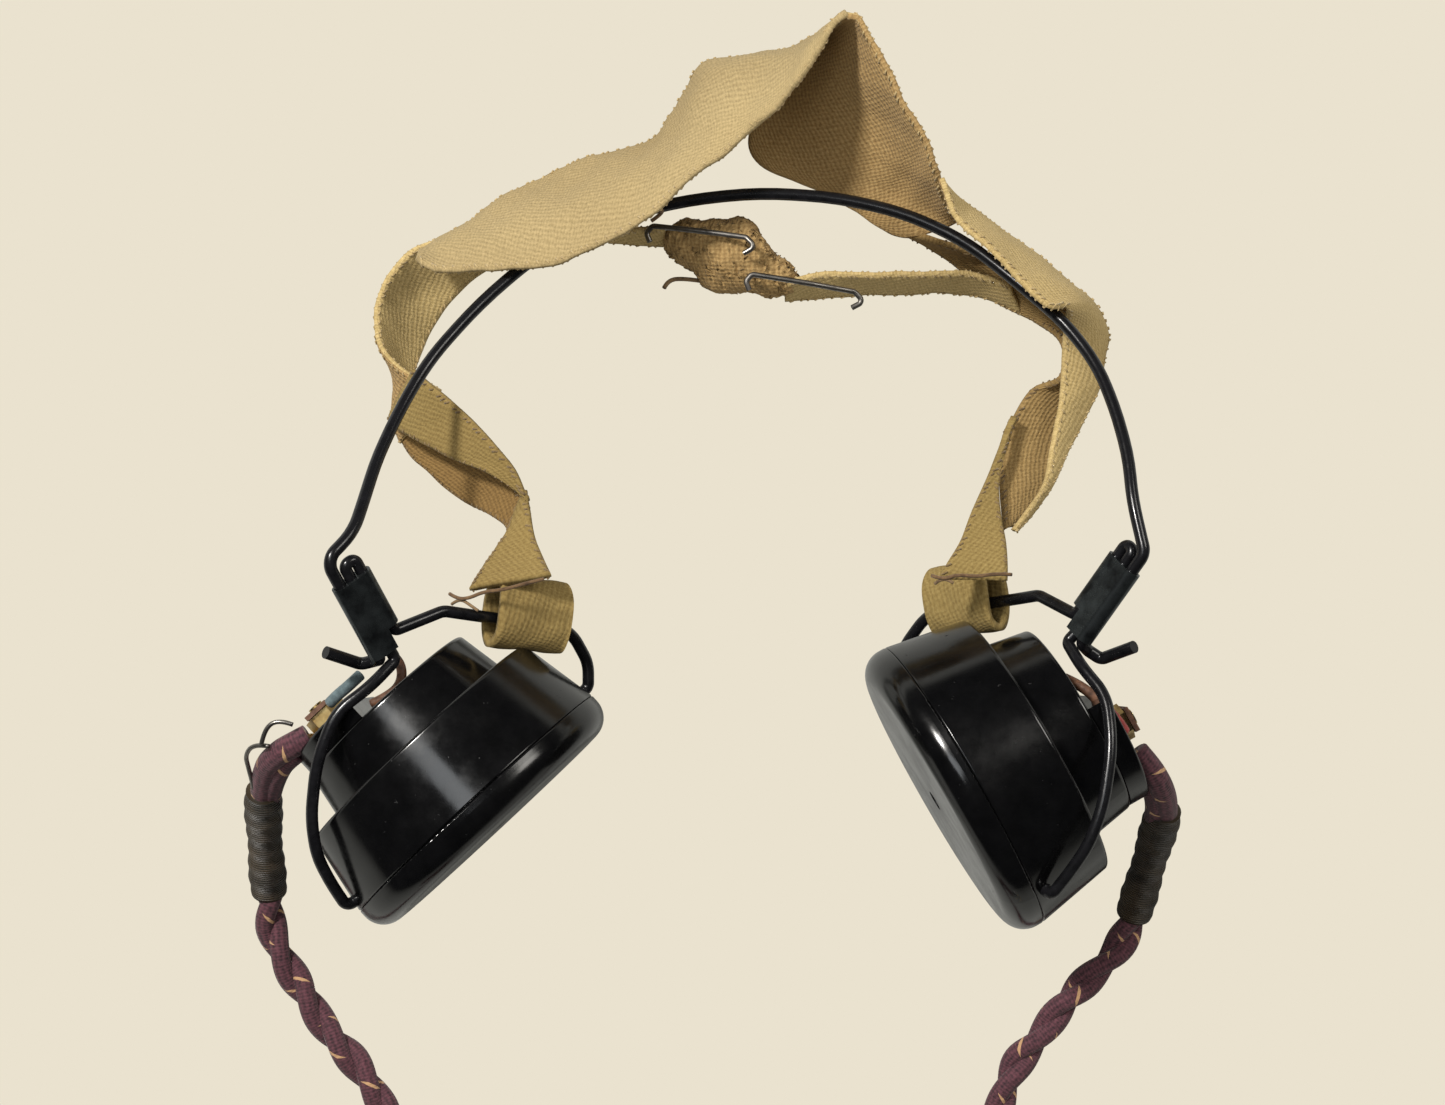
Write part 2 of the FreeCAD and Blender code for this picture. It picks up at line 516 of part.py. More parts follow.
CROSS_RIGHT = [((16.5, 36.6, 10), (17.2, 35.4, 2.5)), ((22.6, 38.4, 9.5), (23.4, 36.0, 2)),
               ((34.0, 38.6, 10), (34.4, 36.2, 2)), ((42.2, 38.4, 10), (42.4, 36.4, 3.5))]
KNOT_SPOTS = [(-5.2, 45.4, 6.2, 5.6), (0.8, 43.0, 7.6, 7.2), (7.2, 41.0, 7.2, 6.8), (12.0, 38.8, 5.8, 5.0)]


def build_straps():
    ribbon("strap_left", STRAP_LEFT)
    ribbon("strap_top", STRAP_TOP)
    ribbon("strap_back", STRAP_BACK)
    ribbon("strap_right", STRAP_RIGHT)
    ribbon("cross_strap_left", STRAP_CROSS)
    ribbon("cross_strap_right", CROSS_RIGHT)
    lumps = []
    for i, (x, y, z, radius) in enumerate(KNOT_SPOTS):
        lump = doc.addObject("Part::Sphere", "knot_lump_%d" % i)
        lump.Radius = radius
        lump.Placement.Base = Vec(x, y, z)
        lumps.append(lump)
    lump_cut = doc.addObject("Part::Box", "knot_floor")
    lump_cut.Length, lump_cut.Width, lump_cut.Height = 60, 40, 20
    lump_cut.Placement.Base = Vec(-20, 20, -19.4)
    finish(cut("knot", fused("knot_lumps", lumps), lump_cut), "strap_bundle")
    pin_rise = 1.4
    for number, (a, b) in enumerate((((-12.8, 48.3, 11.5), (5.7, 45.6, 16.0)), ((6.9, 38.4, 15.4), (27.2, 35.2, 12.2)))):
        start, end = Vec(*a), Vec(*b)
        run = unit(end - start)
        side = unit(run.cross(Vec(0, 0, 1)))
        low = side * 3.2
        points = [start + low, start - run * 1.0 + low * 0.5, start, (start + end) * 0.5 + Vec(0, 0, pin_rise),
                  end, end + run * 2.2 + low * 0.5, end + low]
        tube("safety_pin_%d" % (number + 1), points, "pin_wire", {1: 1.0, 2: 1.0, 4: 1.0, 5: 1.0})


LEFT_CORD = [(-89.6, -84.0, 5.2), (-89.9, -91.0, 3.6), (-87.2, -98.0, 3.3), (-82.6, -105.0, 3.3),
             (-78.4, -112.4, 3.3), (-71.6, -119.6, 3.3), (-65.6, -130.0, 3.3), (-60.0, -144.0, 3.3),
             (-52.6, -158.0, 3.3), (-42.0, -172.0, 3.3), (-29.6, -184.0, 3.3), (-17.6, -193.6, 3.3)]
RIGHT_CORD = [(83.4, -88.6, 5.2), (81.6, -94.6, 3.6), (76.8, -100.0, 3.3), (70.2, -106.0, 3.3),
              (64.8, -113.6, 3.3), (59.0, -120.0, 3.3), (56.0, -130.0, 3.3), (52.6, -144.0, 3.3),
              (45.8, -158.0, 3.3), (36.0, -171.6, 3.3), (25.6, -183.6, 3.3), (14.4, -193.6, 3.3)]
WHIPPINGS = {"left": [(-88.0, -62.6, 25.0), (-89.4, -72.4, 14.2), (-89.6, -84.0, 5.2)],
             "right": [(86.8, -66.4, 24.6), (85.6, -76.6, 13.6), (83.4, -88.6, 5.2)]}
LEADS = {"left": [[(-81.2, -51.0, 33.6), (-84.0, -52.8, 33.8), (-87.2, -56.8, 31.2), (-88.6, -62.2, 25.8)],
                  [(-82.4, -56.0, 29.6), (-83.8, -57.0, 29.4), (-85.2, -59.2, 28.0), (-86.8, -62.4, 25.2)]],
         "right": [[(83.0, -53.6, 36.4), (85.4, -57.0, 36.2), (86.8, -60.6, 32.2), (87.6, -66.0, 25.4)],
                   [(85.2, -61.2, 30.6), (85.4, -62.4, 29.6), (85.6, -63.8, 28.0), (85.6, -66.2, 24.8)]]}
TRUNK = [(-1.6, -214.0, 5.0), (-3.4, -222.0, 3.6), (-9.0, -231.0, 3.3), (-18.6, -240.0, 3.3), (-28.6, -251.0, 3.3)]
COIL_CENTRE = (6.0, -276.0)
TRUNK_TAIL = [(-5.6, -318.0, 3.6), (7.0, -322.0, 3.6), (19.0, -323.4, 4.6), (31.0, -321.6, 6.4), (43.0, -318.0, 7.8)]


def build_cords():
    tube("left_cord", LEFT_CORD, "cord", report=True)
    tube("right_cord", RIGHT_CORD, "cord", report=True)
    for name in ("left", "right"):
        tube(name + "_whipping", WHIPPINGS[name], "whipping")
        pair = [tube(name + "_lead_%d" % i, route, "lead") for i, route in enumerate(LEADS[name])]
        for lead in pair:
            FINISHED.remove(lead)
            lead.Placement = FreeCAD.Placement()
        finish(group(name + "_lead_pair", pair), name + "_leads")
    hook = [Vec(-80.2, -49.0, 34.6), Vec(-80.0, -46.6, 35.2), Vec(-82.4, -45.2, 35.4), Vec(-86.2, -48.4, 34.8),
            Vec(-90.4, -50.0, 33.8), Vec(-92.0, -53.0, 32.0), Vec(-91.4, -58.4, 28.2)]
    tube("left_cord_hook", hook, "hook_wire")

    # bead that binds the two branches to the trunk
    bead = doc.addObject("Part::Ellipsoid", "bead_body")
    bead.setExpression("Radius1", "Sizes.bead_high / 1.6")
    bead.setExpression("Radius2", "Sizes.bead_radius * 1.5")
    bead.setExpression("Radius3", "Sizes.bead_long / 1.7")
    bead.Placement.Base = Vec(-1.6, -203.4, 5.2)
    ends = [trim_cylinder("bead_left", LEFT_CORD), trim_cylinder("bead_right", RIGHT_CORD),
            trim_cylinder("bead_trunk", TRUNK[::-1])]
    finish(cut("bead", bead, fused("bead_ways", ends)), "cord_junction")

    tube("trunk_cord", TRUNK, "cord", report=True)
    ring = feature("Torus", "coil_ring", Radius1="Sizes.coil_radius", Radius2="Sizes.coil_high / 2")
    ring.Placement.Base = Vec(COIL_CENTRE[0], COIL_CENTRE[1], size("coil_high") / 2 + 0.1)
    finish(ring, "cord_coil")
    tube("trunk_tail", TRUNK_TAIL, "cord", report=True)
    build_plug()


def trim_cylinder(name, route):
    """Room for a cord's last run where it enters the bead."""
    end, before = Vec(*route[-1]), Vec(*route[-2])
    direction = unit(end - before)
    obj = feature("Cylinder", name, Radius="Sizes.cord / 2", Height="Sizes.cord * 3")
    obj.Placement = FreeCAD.Placement(end - direction * size("cord") * 3, FreeCAD.Rotation(Vec(0, 0, 1), direction))
    return obj


def build_plug():
    """Two-circuit telephone plug: insulating shell, brass sleeve and brass tip."""
    end, before = Vec(*TRUNK_TAIL[-1]), Vec(*TRUNK_TAIL[-2])
    flat = end - before
    direction = unit(Vec(flat.x, flat.y, 0))
    place = FreeCAD.Placement(end, FreeCAD.Rotation(Vec(0, 0, 1), direction))
    shell = fused("plug_shell", [
        cone("plug_grip", "plug_radius - 2.2", "plug_radius", "plug_body * 0.45"),
        cylinder("plug_barrel", "plug_radius", "plug_body * 0.55", z="plug_body * 0.45")])
    finish(shell, "plug_body", place)
    sleeve = cylinder("plug_sleeve_rod", "plug_sleeve_radius", "plug_sleeve", z="plug_body")
    finish(group("plug_sleeve_piece", [sleeve]), "plug_sleeve", place)
    tip = fused("plug_tip_rod", [
        cylinder("plug_tip_neck", "plug_sleeve_radius * 0.6", "1.6", z="plug_body + plug_sleeve"),
        cone("plug_tip_swell", "plug_sleeve_radius * 0.6", "plug_sleeve_radius * 0.95", "1.6",
             z="plug_body + plug_sleeve + 1.6"),
        cone("plug_tip_nose", "plug_sleeve_radius * 0.95", "plug_sleeve_radius * 0.35", "3.4",
             z="plug_body + plug_sleeve + 3.2")])
    finish(tip, "plug_tip", place)


for ear in ("left", "right"):
    build_earphone(ear)
    build_yoke(ear)
build_headband()
build_straps()
build_cords()
doc.recompute()

faults = ["%s: %s" % (obj.Name, obj.State) for obj in doc.Objects
          if "Invalid" in obj.State or "Error" in obj.State]
for obj in FINISHED:
    if obj.Shape.isNull() or not obj.Shape.isValid() or not obj.Shape.Solids:
        faults.append("%s: bad shape" % obj.Label)
if faults:
    raise SystemExit("\n".join(faults))
os.makedirs("parts", exist_ok=True)
for obj in FINISHED:
    obj.Shape.exportStep("parts/%s.step" % obj.Label)
print(len(FINISHED), "parts")
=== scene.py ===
"""Aviation headset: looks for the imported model.

Lengths are written in millimetres and turned to metres by at().
"""
import math
import random

import bpy
import numpy as np
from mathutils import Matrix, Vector


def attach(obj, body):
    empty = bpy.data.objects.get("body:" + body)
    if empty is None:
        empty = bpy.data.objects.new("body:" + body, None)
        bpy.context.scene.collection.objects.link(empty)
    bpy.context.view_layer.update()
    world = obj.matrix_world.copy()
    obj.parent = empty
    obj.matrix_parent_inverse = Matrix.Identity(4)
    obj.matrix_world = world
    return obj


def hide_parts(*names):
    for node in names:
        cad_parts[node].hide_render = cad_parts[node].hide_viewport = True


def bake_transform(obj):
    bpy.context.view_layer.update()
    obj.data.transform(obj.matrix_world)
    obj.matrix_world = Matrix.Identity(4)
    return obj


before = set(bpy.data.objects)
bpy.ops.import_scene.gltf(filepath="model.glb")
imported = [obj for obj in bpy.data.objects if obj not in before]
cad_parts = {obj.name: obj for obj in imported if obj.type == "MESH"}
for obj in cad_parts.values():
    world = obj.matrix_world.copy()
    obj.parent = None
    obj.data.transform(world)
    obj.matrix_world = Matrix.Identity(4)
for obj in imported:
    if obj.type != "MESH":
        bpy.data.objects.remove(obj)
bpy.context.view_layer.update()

MM = 0.001
ORIGIN = (1.466, 0.494, 0.054)      # the frame's origin in the layout's millimetres
CORD, WHIPPING, WEBBING = 6.4, 7.2, 1.3     # diameters of cord and whipping, thickness of webbing
LEAD_RADIUS = 2.45
FULL_TURN = 6.2832
CAMERA_AT, LENS = (1.1, -16.4, 650), 80.3


def at(p):
    """A layout point in millimetres, as metres in the frame."""
    return Vector([(p[i] - ORIGIN[i]) * MM for i in range(3)])


# ------------------------------------------------------------------ camera, world and lights
scene = bpy.context.scene
camera_data = bpy.data.cameras.new("camera")
camera_data.sensor_width, camera_data.lens = 36.0, LENS
camera = bpy.data.objects.new("camera", camera_data)
camera.location = at(CAMERA_AT)
scene.collection.objects.link(camera)
scene.camera = camera
scene.view_settings.view_transform = "Standard"

BACKGROUND = (0.823, 0.760, 0.624)          # what the camera sees behind and under the part
REFLECTED = (0.018, 0.019, 0.021)           # what glossy rays see
ROOM_LIGHT, ROOM_STRENGTH = (1.0, 0.96, 0.88), 0.42     # what lights everything else
PAPER = (0.40, 0.41, 0.40)
FLOOR_REACH, FLOOR_DROP = 12.0, 0.0004


def camera_split(tree, ray, other, seen, out):
    """Sends camera rays to one shader and every other ray to another."""
    mix = tree.nodes.new("ShaderNodeMixShader")
    tree.links.new(ray.outputs["Is Camera Ray"], mix.inputs[0])
    tree.links.new(other.outputs[0], mix.inputs[1])
    tree.links.new(seen.outputs[0], mix.inputs[2])
    tree.links.new(mix.outputs[0], out.inputs[0])


def room():
    """A world that shows the camera, glossy rays and diffuse rays a different plain colour each."""
    world = bpy.data.worlds.new("room")
    scene.world = world
    world.use_nodes = True
    tree = world.node_tree
    tree.nodes.clear()
    out, ray = tree.nodes.new("ShaderNodeOutputWorld"), tree.nodes.new("ShaderNodeLightPath")
    seen, dark, lit = [tree.nodes.new("ShaderNodeBackground") for _ in range(3)]
    for node, colour in ((seen, BACKGROUND), (dark, REFLECTED), (lit, ROOM_LIGHT)):
        node.inputs["Color"].default_value = (*colour, 1)
    lit.inputs["Strength"].default_value = ROOM_STRENGTH
    mix = tree.nodes.new("ShaderNodeMixShader")
    tree.links.new(ray.outputs["Is Glossy Ray"], mix.inputs[0])
    tree.links.new(lit.outputs[0], mix.inputs[1])
    tree.links.new(dark.outputs[0], mix.inputs[2])
    camera_split(tree, ray, mix, seen, out)


room()


def area_light(name, place, target, wide, high, power, colour=(1, 1, 1)):
    data = bpy.data.lights.new(name, "AREA")
    data.shape, data.size, data.size_y, data.energy, data.color = "RECTANGLE", wide, high, power, colour
    lamp = bpy.data.objects.new(name, data)
    lamp.location = place
    lamp.rotation_euler = (Vector(target) - Vector(place)).to_track_quat("-Z", "Y").to_euler()
    scene.collection.objects.link(lamp)


area_light("key", (-0.46, 0.44, 0.80), (0, 0, 0), 0.13, 0.13, 9.5, (1.0, 0.97, 0.92))
area_light("overhead", (-0.18, 0.12, 0.74), (0, 0, 0), 0.20, 0.26, 0.48, (0.93, 0.97, 1.0))
area_light("side", (0.55, 0.40, 0.60), (0, 0, 0), 0.30, 0.30, 1.9, (1.0, 0.97, 0.90))


def paper_floor():
    """A plain floor: one flat colour to the camera, a grey diffuse sheet to every other ray."""
    mesh = bpy.data.meshes.new("floor")
    corners = [(x * FLOOR_REACH, y * FLOOR_REACH, 0) for x, y in ((-1, -1), (1, -1), (1, 1), (-1, 1))]
    mesh.from_pydata(corners, [], [(0, 1, 2, 3)])
    floor = bpy.data.objects.new("floor", mesh)
    floor.location.z = -FLOOR_DROP
    scene.collection.objects.link(floor)
    material = bpy.data.materials.new("paper")
    material.use_nodes = True
    tree = material.node_tree
    tree.nodes.clear()
    out, ray = tree.nodes.new("ShaderNodeOutputMaterial"), tree.nodes.new("ShaderNodeLightPath")
    flat, soft = tree.nodes.new("ShaderNodeEmission"), tree.nodes.new("ShaderNodeBsdfDiffuse")
    flat.inputs["Color"].default_value = (*BACKGROUND, 1)
    soft.inputs["Color"].default_value = (*PAPER, 1)
    camera_split(tree, ray, soft, flat, out)
    mesh.materials.append(material)


paper_floor()


# ------------------------------------------------------------------ materials
class Shade:
    """A node material under construction."""

    def __init__(self, name, roughness=0.6, metallic=0.0):
        self.material = bpy.data.materials.new(name)
        self.material.use_nodes = True
        self.tree = self.material.node_tree
        self.bsdf = self.tree.nodes["Principled BSDF"]
        self.set(Roughness=roughness, Metallic=metallic)

    def set(self, **values):
        for key, value in values.items():
            self.bsdf.inputs[key.replace("_", " ")].default_value = value

    def node(self, kind, **values):
        made = self.tree.nodes.new("ShaderNode" + kind)
        for key, value in values.items():
            if hasattr(made, key):
                setattr(made, key, value)
            else:
                made.inputs[key.replace("_", " ")].default_value = value
        return made

    def link(self, source, target):
        self.tree.links.new(source, target)

    def where(self, kind="Object"):
        return self.node("TexCoord").outputs[kind]

    def noise(self, place, scale, detail=4.0, roughness=0.6):
        made = self.node("TexNoise", Scale=scale, Detail=detail, Roughness=roughness)
        self.link(place, made.inputs["Vector"])
        return made.outputs["Fac"]

    def ramp(self, factor, stops):
        made = self.node("ValToRGB")
        band = made.color_ramp
        while len(band.elements) < len(stops):
            band.elements.new(0.5)
        for element, (place, colour) in zip(band.elements, stops):
            element.position = place
            element.color = (*colour, 1)
        self.link(factor, made.inputs["Fac"])
        return made.outputs["Color"]

    def math(self, operation, a, b=0.5):
        made = self.node("Math", operation=operation)
        for slot, value in enumerate((a, b)):
            if isinstance(value, (int, float)):
                made.inputs[slot].default_value = value
            else:
                self.link(value, made.inputs[slot])
        return made.outputs[0]

    def blend(self, factor, a, b, kind="MIX"):
        made = self.node("MixRGB", blend_type=kind)
        for slot, value in enumerate((factor, a, b)):
            if isinstance(value, (int, float)):
                made.inputs[slot].default_value = value
            elif isinstance(value, tuple):
                made.inputs[slot].default_value = (*value, 1)
            else:
                self.link(value, made.inputs[slot])
        return made.outputs[0]

    def colour(self, source):
        self.link(source, self.bsdf.inputs["Base Color"])

    def bump(self, height, strength=0.5, distance=0.0004):
        made = self.node("Bump", Strength=strength, Distance=distance)
        self.link(height, made.inputs["Height"])
        self.link(made.outputs[0], self.bsdf.inputs["Normal"])


def webbing_material(name, pale, mid, dark, twill):
    """Cotton webbing over UV in millimetres: u across the band, v along it."""
    s = Shade(name, roughness=0.88)
    s.set(Sheen_Weight=0.05, Sheen_Roughness=0.5, Specular_IOR_Level=0.15)
    uv = s.where("UV")
    split = s.node("SeparateXYZ")
    s.link(uv, split.inputs[0])
    sway = s.math("MULTIPLY", s.noise(uv, 0.55, 3.0), 1.1)
    u, v = s.math("ADD", split.outputs[0], sway), s.math("ADD", split.outputs[1], sway)
    tone, relief = (0.07, 0.35) if twill else (0.085, 0.6)
    if twill:
        slant = s.math("ADD", s.math("MULTIPLY", u, 5.4), s.math("MULTIPLY", v, 2.0))
        rib = s.math("SINE", slant)
        cross = s.math("SINE", s.math("SUBTRACT", s.math("MULTIPLY", v, 9.0), s.math("MULTIPLY", u, 2.0)))
    else:
        rib = s.math("SINE", s.math("MULTIPLY", u, 6.6))
        cross = s.math("SINE", s.math("MULTIPLY", v, 7.4))
    weave = s.math("ADD", s.math("MULTIPLY", rib, 0.6), s.math("MULTIPLY", cross, 0.4))
    grain = s.noise(uv, 1.4, 7.0, 0.95)
    place = s.where()
    patches = s.noise(place, 42.0, 3.0)
    stains = s.noise(place, 14.0, 2.0)
    fibre = s.math("ADD", s.math("MULTIPLY", weave, tone), grain)
    base = s.ramp(fibre, [(0.26, dark), (0.47, mid), (0.70, pale)])
    base = s.blend(s.math("MULTIPLY", patches, 0.25), base, mid)
    worn = s.ramp(stains, [(0.35, (0.80, 0.76, 0.70)), (0.62, (1.06, 1.05, 1.02))])
    s.colour(s.blend(0.8, base, worn, "MULTIPLY"))
    height = s.math("ADD", s.math("MULTIPLY", weave, relief), s.math("MULTIPLY", grain, 0.5))
    s.bump(height, 0.6, 0.00025)
    return s.material


OUTER = webbing_material("webbing_outer", (0.78, 0.605, 0.31), (0.50, 0.375, 0.165),
                         (0.20, 0.13, 0.048), True)
# Painted shade: a dark copy of the inner webbing, for the left fold.
DIM = webbing_material("webbing_dim", (0.40, 0.255, 0.10), (0.235, 0.145, 0.052),
                       (0.075, 0.04, 0.014), False)
FADED = webbing_material("webbing_faded", (0.60, 0.46, 0.245), (0.375, 0.288, 0.145),
                         (0.15, 0.102, 0.045), True)
INNER = webbing_material("webbing_inner", (0.60, 0.43, 0.20), (0.36, 0.235, 0.10),
                         (0.12, 0.066, 0.025), False)
# Painted shade: a darker copy of the webbing, for the left flap, the two strap ends and the ear loops.
SHADE_WEBBING = webbing_material("webbing_aged", (0.44, 0.33, 0.135), (0.28, 0.20, 0.072),
                        (0.11, 0.066, 0.022), True)
SHADED = webbing_material("webbing_shaded", (0.52, 0.365, 0.165), (0.30, 0.20, 0.08),
                          (0.10, 0.056, 0.02), False)


def thread_material(name, pale, dark):
    s = Shade(name, roughness=0.85)
    s.set(Sheen_Weight=0.2)
    place = s.where()
    grain = s.noise(place, 900.0, 4.0)
    s.colour(s.ramp(grain, [(0.3, dark), (0.7, pale)]))
    s.bump(grain, 0.5, 0.0002)
    return s.material


STITCH = thread_material("edge_stitch", (0.56, 0.43, 0.21), (0.34, 0.235, 0.10))
# Painted shade: a darker copy of the edge stitch, for the bands that take the darker webbing copies.
SHADE_STITCH = thread_material("dark_edge_stitch", (0.27, 0.185, 0.08), (0.12, 0.072, 0.03))
SEAM = thread_material("dark_stitch", (0.20, 0.115, 0.05), (0.07, 0.035, 0.015))
LOOSE = thread_material("loose_thread", (0.30, 0.19, 0.09), (0.10, 0.06, 0.03))
TEAL = thread_material("teal_thread", (0.16, 0.22, 0.24), (0.06, 0.09, 0.10))
RED = thread_material("red_lead", (0.50, 0.08, 0.07), (0.22, 0.03, 0.03))


def braid_material(name, base, dark, tick, ticks):
    """Braided cotton over UV: u round the strand, v along it in millimetres."""
    s = Shade(name, roughness=0.82)
    s.set(Sheen_Weight=0.15)
    uv = s.where("UV")
    split = s.node("SeparateXYZ")
    s.link(uv, split.inputs[0])
    u, v = s.math("MULTIPLY", split.outputs[0], FULL_TURN), split.outputs[1]
    one = s.math("SINE", s.math("ADD", s.math("MULTIPLY", u, 5.0), s.math("MULTIPLY", v, 5.2)))
    two = s.math("SINE", s.math("SUBTRACT", s.math("MULTIPLY", u, 5.0), s.math("MULTIPLY", v, 5.2)))
    weave = s.math("MULTIPLY", one, two)
    grain = s.noise(s.where(), 1500.0, 3.0)
    body = s.ramp(s.math("ADD", s.math("MULTIPLY", weave, 0.16), grain), [(0.25, dark), (0.72, base)])
    spot = s.math("SINE", s.math("ADD", u, s.math("MULTIPLY", v, 0.74)))
    gate = s.math("SINE", s.math("ADD", s.math("MULTIPLY", v, 1.9), u))
    fleck = s.math("MULTIPLY", s.math("GREATER_THAN", spot, ticks), s.math("GREATER_THAN", gate, 0.35))
    s.colour(s.blend(fleck, body, tick))
    s.bump(s.math("ADD", s.math("MULTIPLY", weave, 0.4), grain), 0.5, 0.0002)
    return s.material


MAROON = braid_material("maroon_braid", (0.135, 0.043, 0.060), (0.030, 0.010, 0.016),
                        (0.52, 0.31, 0.16), 0.965)


def whipping_material():
    s = Shade("whipping", roughness=0.42)
    uv = s.where("UV")
    split = s.node("SeparateXYZ")
    s.link(uv, split.inputs[0])
    turns = s.math("SINE", s.math("MULTIPLY", split.outputs[1], 11.0))
    patch = s.noise(s.where(), 160.0, 3.0)
    body = s.ramp(patch, [(0.3, (0.022, 0.016, 0.009)), (0.62, (0.085, 0.058, 0.028)),
                          (0.8, (0.15, 0.10, 0.05))])
    # Painted shade: the grooves between the turns are darkened in the colour; the same turns also make the
    # bump.
    groove_shade = s.ramp(turns, [(0.1, (0.3, 0.27, 0.22)), (0.8, (1.0, 1.0, 1.0))])
    s.colour(s.blend(0.55, body, groove_shade, "MULTIPLY"))
    s.bump(turns, 0.9, 0.0004)
    return s.material


WAXED = whipping_material()


def bakelite_material():
    s = Shade("bakelite", roughness=0.12)
    s.set(Specular_IOR_Level=0.62)
    place = s.where()
    tint = s.noise(place, 260.0, 5.0)
    s.colour(s.ramp(tint, [(0.35, (0.002, 0.002, 0.0022)), (0.8, (0.0045, 0.0045, 0.005))]))
    smear = s.noise(place, 70.0, 6.0, 0.7)
    specks = s.noise(place, 900.0, 2.0)
    rough = s.node("MapRange", From_Min=0.4, From_Max=0.8, To_Min=0.13, To_Max=0.32)
    s.link(smear, rough.inputs["Value"])
    dust = s.math("MULTIPLY", s.math("GREATER_THAN", specks, 0.735), 0.45)
    s.link(s.math("ADD", rough.outputs[0], dust), s.bsdf.inputs["Roughness"])
    stretch = s.node("Mapping")
    stretch.inputs["Scale"].default_value = (420.0, 60.0, 160.0)
    s.link(place, stretch.inputs["Vector"])
    s.bump(s.noise(stretch.outputs[0], 1.0, 8.0, 0.8), 0.06, 0.0001)
    return s.material


def metal_material(name, colour, dark, roughness, metallic=1.0, spots=300.0):
    s = Shade(name, roughness=roughness, metallic=metallic)
    wear = s.noise(s.where(), spots, 5.0)
    s.colour(s.ramp(wear, [(0.32, dark), (0.66, colour)]))
    made = s.node("MapRange", From_Min=0.3, From_Max=0.7, To_Min=roughness * 1.6, To_Max=roughness * 0.8)
    s.link(wear, made.inputs["Value"])
    s.link(made.outputs[0], s.bsdf.inputs["Roughness"])
    s.bump(wear, 0.15, 0.0001)
    return s.material


BAKELITE = bakelite_material()
BLACK_WIRE = metal_material("black_enamel", (0.012, 0.012, 0.014), (0.004, 0.004, 0.005), 0.2, 0.1, 500.0)
WORN_ENAMEL = metal_material("worn_enamel", (0.10, 0.115, 0.12), (0.02, 0.022, 0.024), 0.22, 0.85, 240.0)
BRASS = metal_material("aged_brass", (0.80, 0.60, 0.27), (0.34, 0.22, 0.08), 0.28)
NICKEL = metal_material("dull_nickel", (0.36, 0.34, 0.31), (0.16, 0.15, 0.14), 0.36)
STEEL = metal_material("blued_steel", (0.18, 0.18, 0.19), (0.07, 0.07, 0.07), 0.4)
COPPER = metal_material("coil_winding", (0.55, 0.22, 0.09), (0.24, 0.09, 0.03), 0.35)
LEATHER = metal_material("brown_leather", (0.21, 0.095, 0.05), (0.055, 0.025, 0.014), 0.5, 0.0, 700.0)

CAD_LOOKS = {"ear_cap": BAKELITE, "receiver_case": BAKELITE, "terminal_block": BAKELITE,
             "plug_body": BAKELITE, "diaphragm": STEEL, "magnet": STEEL, "pole_pieces": STEEL,
             "coils": COPPER,
             "terminal_nuts": BRASS, "terminal_screws": BRASS, "plug_sleeve": BRASS, "plug_tip": BRASS,
             "tag_strip": LEATHER, "yoke": BLACK_WIRE, "sleeve": WORN_ENAMEL, "headband_wire": BLACK_WIRE,
             "left_cord_hook": NICKEL, "safety_pin_1": NICKEL, "safety_pin_2": NICKEL}
for name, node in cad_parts.items():
    short = name.replace("left_", "").replace("right_", "")
    look = CAD_LOOKS.get(name, CAD_LOOKS.get(short))
    if look:
        node.data.materials.clear()
        node.data.materials.append(look)


# ------------------------------------------------------------------ geometry helpers
ROUTE_STEP, WIRE_SIDES = 0.5, 10
TWIST_STEP, TWIST_PITCH = 0.9, 21.0
STRAND_RADIUS, STRAND_OFFSET = 0.31, 0.62       # shares of the pair's diameter, and of the strand's radius


def new_object(name, vertices, faces, material, uvs, second=None, face_slot=None):
    mesh = bpy.data.meshes.new(name)
    mesh.from_pydata([tuple(v) for v in vertices], [], faces)
    layer = mesh.uv_layers.new(name="mm")
    for loop in mesh.loops:
        layer.data[loop.index].uv = uvs[loop.vertex_index]
    mesh.materials.append(material)
    if second:
        mesh.materials.append(second)
        for polygon, slot in zip(mesh.polygons, face_slot):
            polygon.material_index = slot
    for polygon in mesh.polygons:
        polygon.use_smooth = True
    obj = bpy.data.objects.new(name, mesh)
    scene.collection.objects.link(obj)
    return obj


def spline_points(points):
    """Points along the NURBS curve that has these control points, in metres."""
    curve = bpy.data.curves.new("line", "CURVE")
    curve.dimensions = "3D"
    curve.resolution_u = 16
    spline = curve.splines.new("NURBS")
    spline.points.add(len(points) - 1)
    for slot, p in zip(spline.points, points):
        slot.co = (*p, 1)
    spline.order_u = 3
    spline.use_endpoint_u = True
    holder = bpy.data.objects.new("line", curve)
    scene.collection.objects.link(holder)
    mesh = bpy.data.meshes.new_from_object(holder)
    line = np.array([v.co[:] for v in mesh.vertices])
    bpy.data.objects.remove(holder)
    bpy.data.curves.remove(curve)
    return line


def distances(line):
    """How far along a polyline each of its points is."""
    return np.concatenate([[0], np.cumsum(np.linalg.norm(np.diff(line, axis=0), axis=1))])


def resample(line, step):
    """Evenly spaced points along a polyline, and the distance at each."""
    far = distances(line)
    count = max(2, int(round(far[-1] / step)) + 1)
    marks = np.linspace(0, far[-1], count)
    return np.stack([np.interp(marks, far, line[:, i]) for i in range(3)], axis=1), marks


def carried_frames(line):
    """Unit tangents with two normals carried along without twist."""
    tangents = np.gradient(line, axis=0)
    tangents /= np.linalg.norm(tangents, axis=1)[:, None]
    normal = np.cross(tangents[0], (0, 0, 1))
    if np.linalg.norm(normal) < 0.1:
        normal = np.cross(tangents[0], (0, 1, 0))
    normals = []
    for t in tangents:
        normal = normal - t * np.dot(normal, t)
        normal /= np.linalg.norm(normal)
        normals.append(normal)
    normals = np.array(normals)
    return tangents, normals, np.cross(tangents, normals)


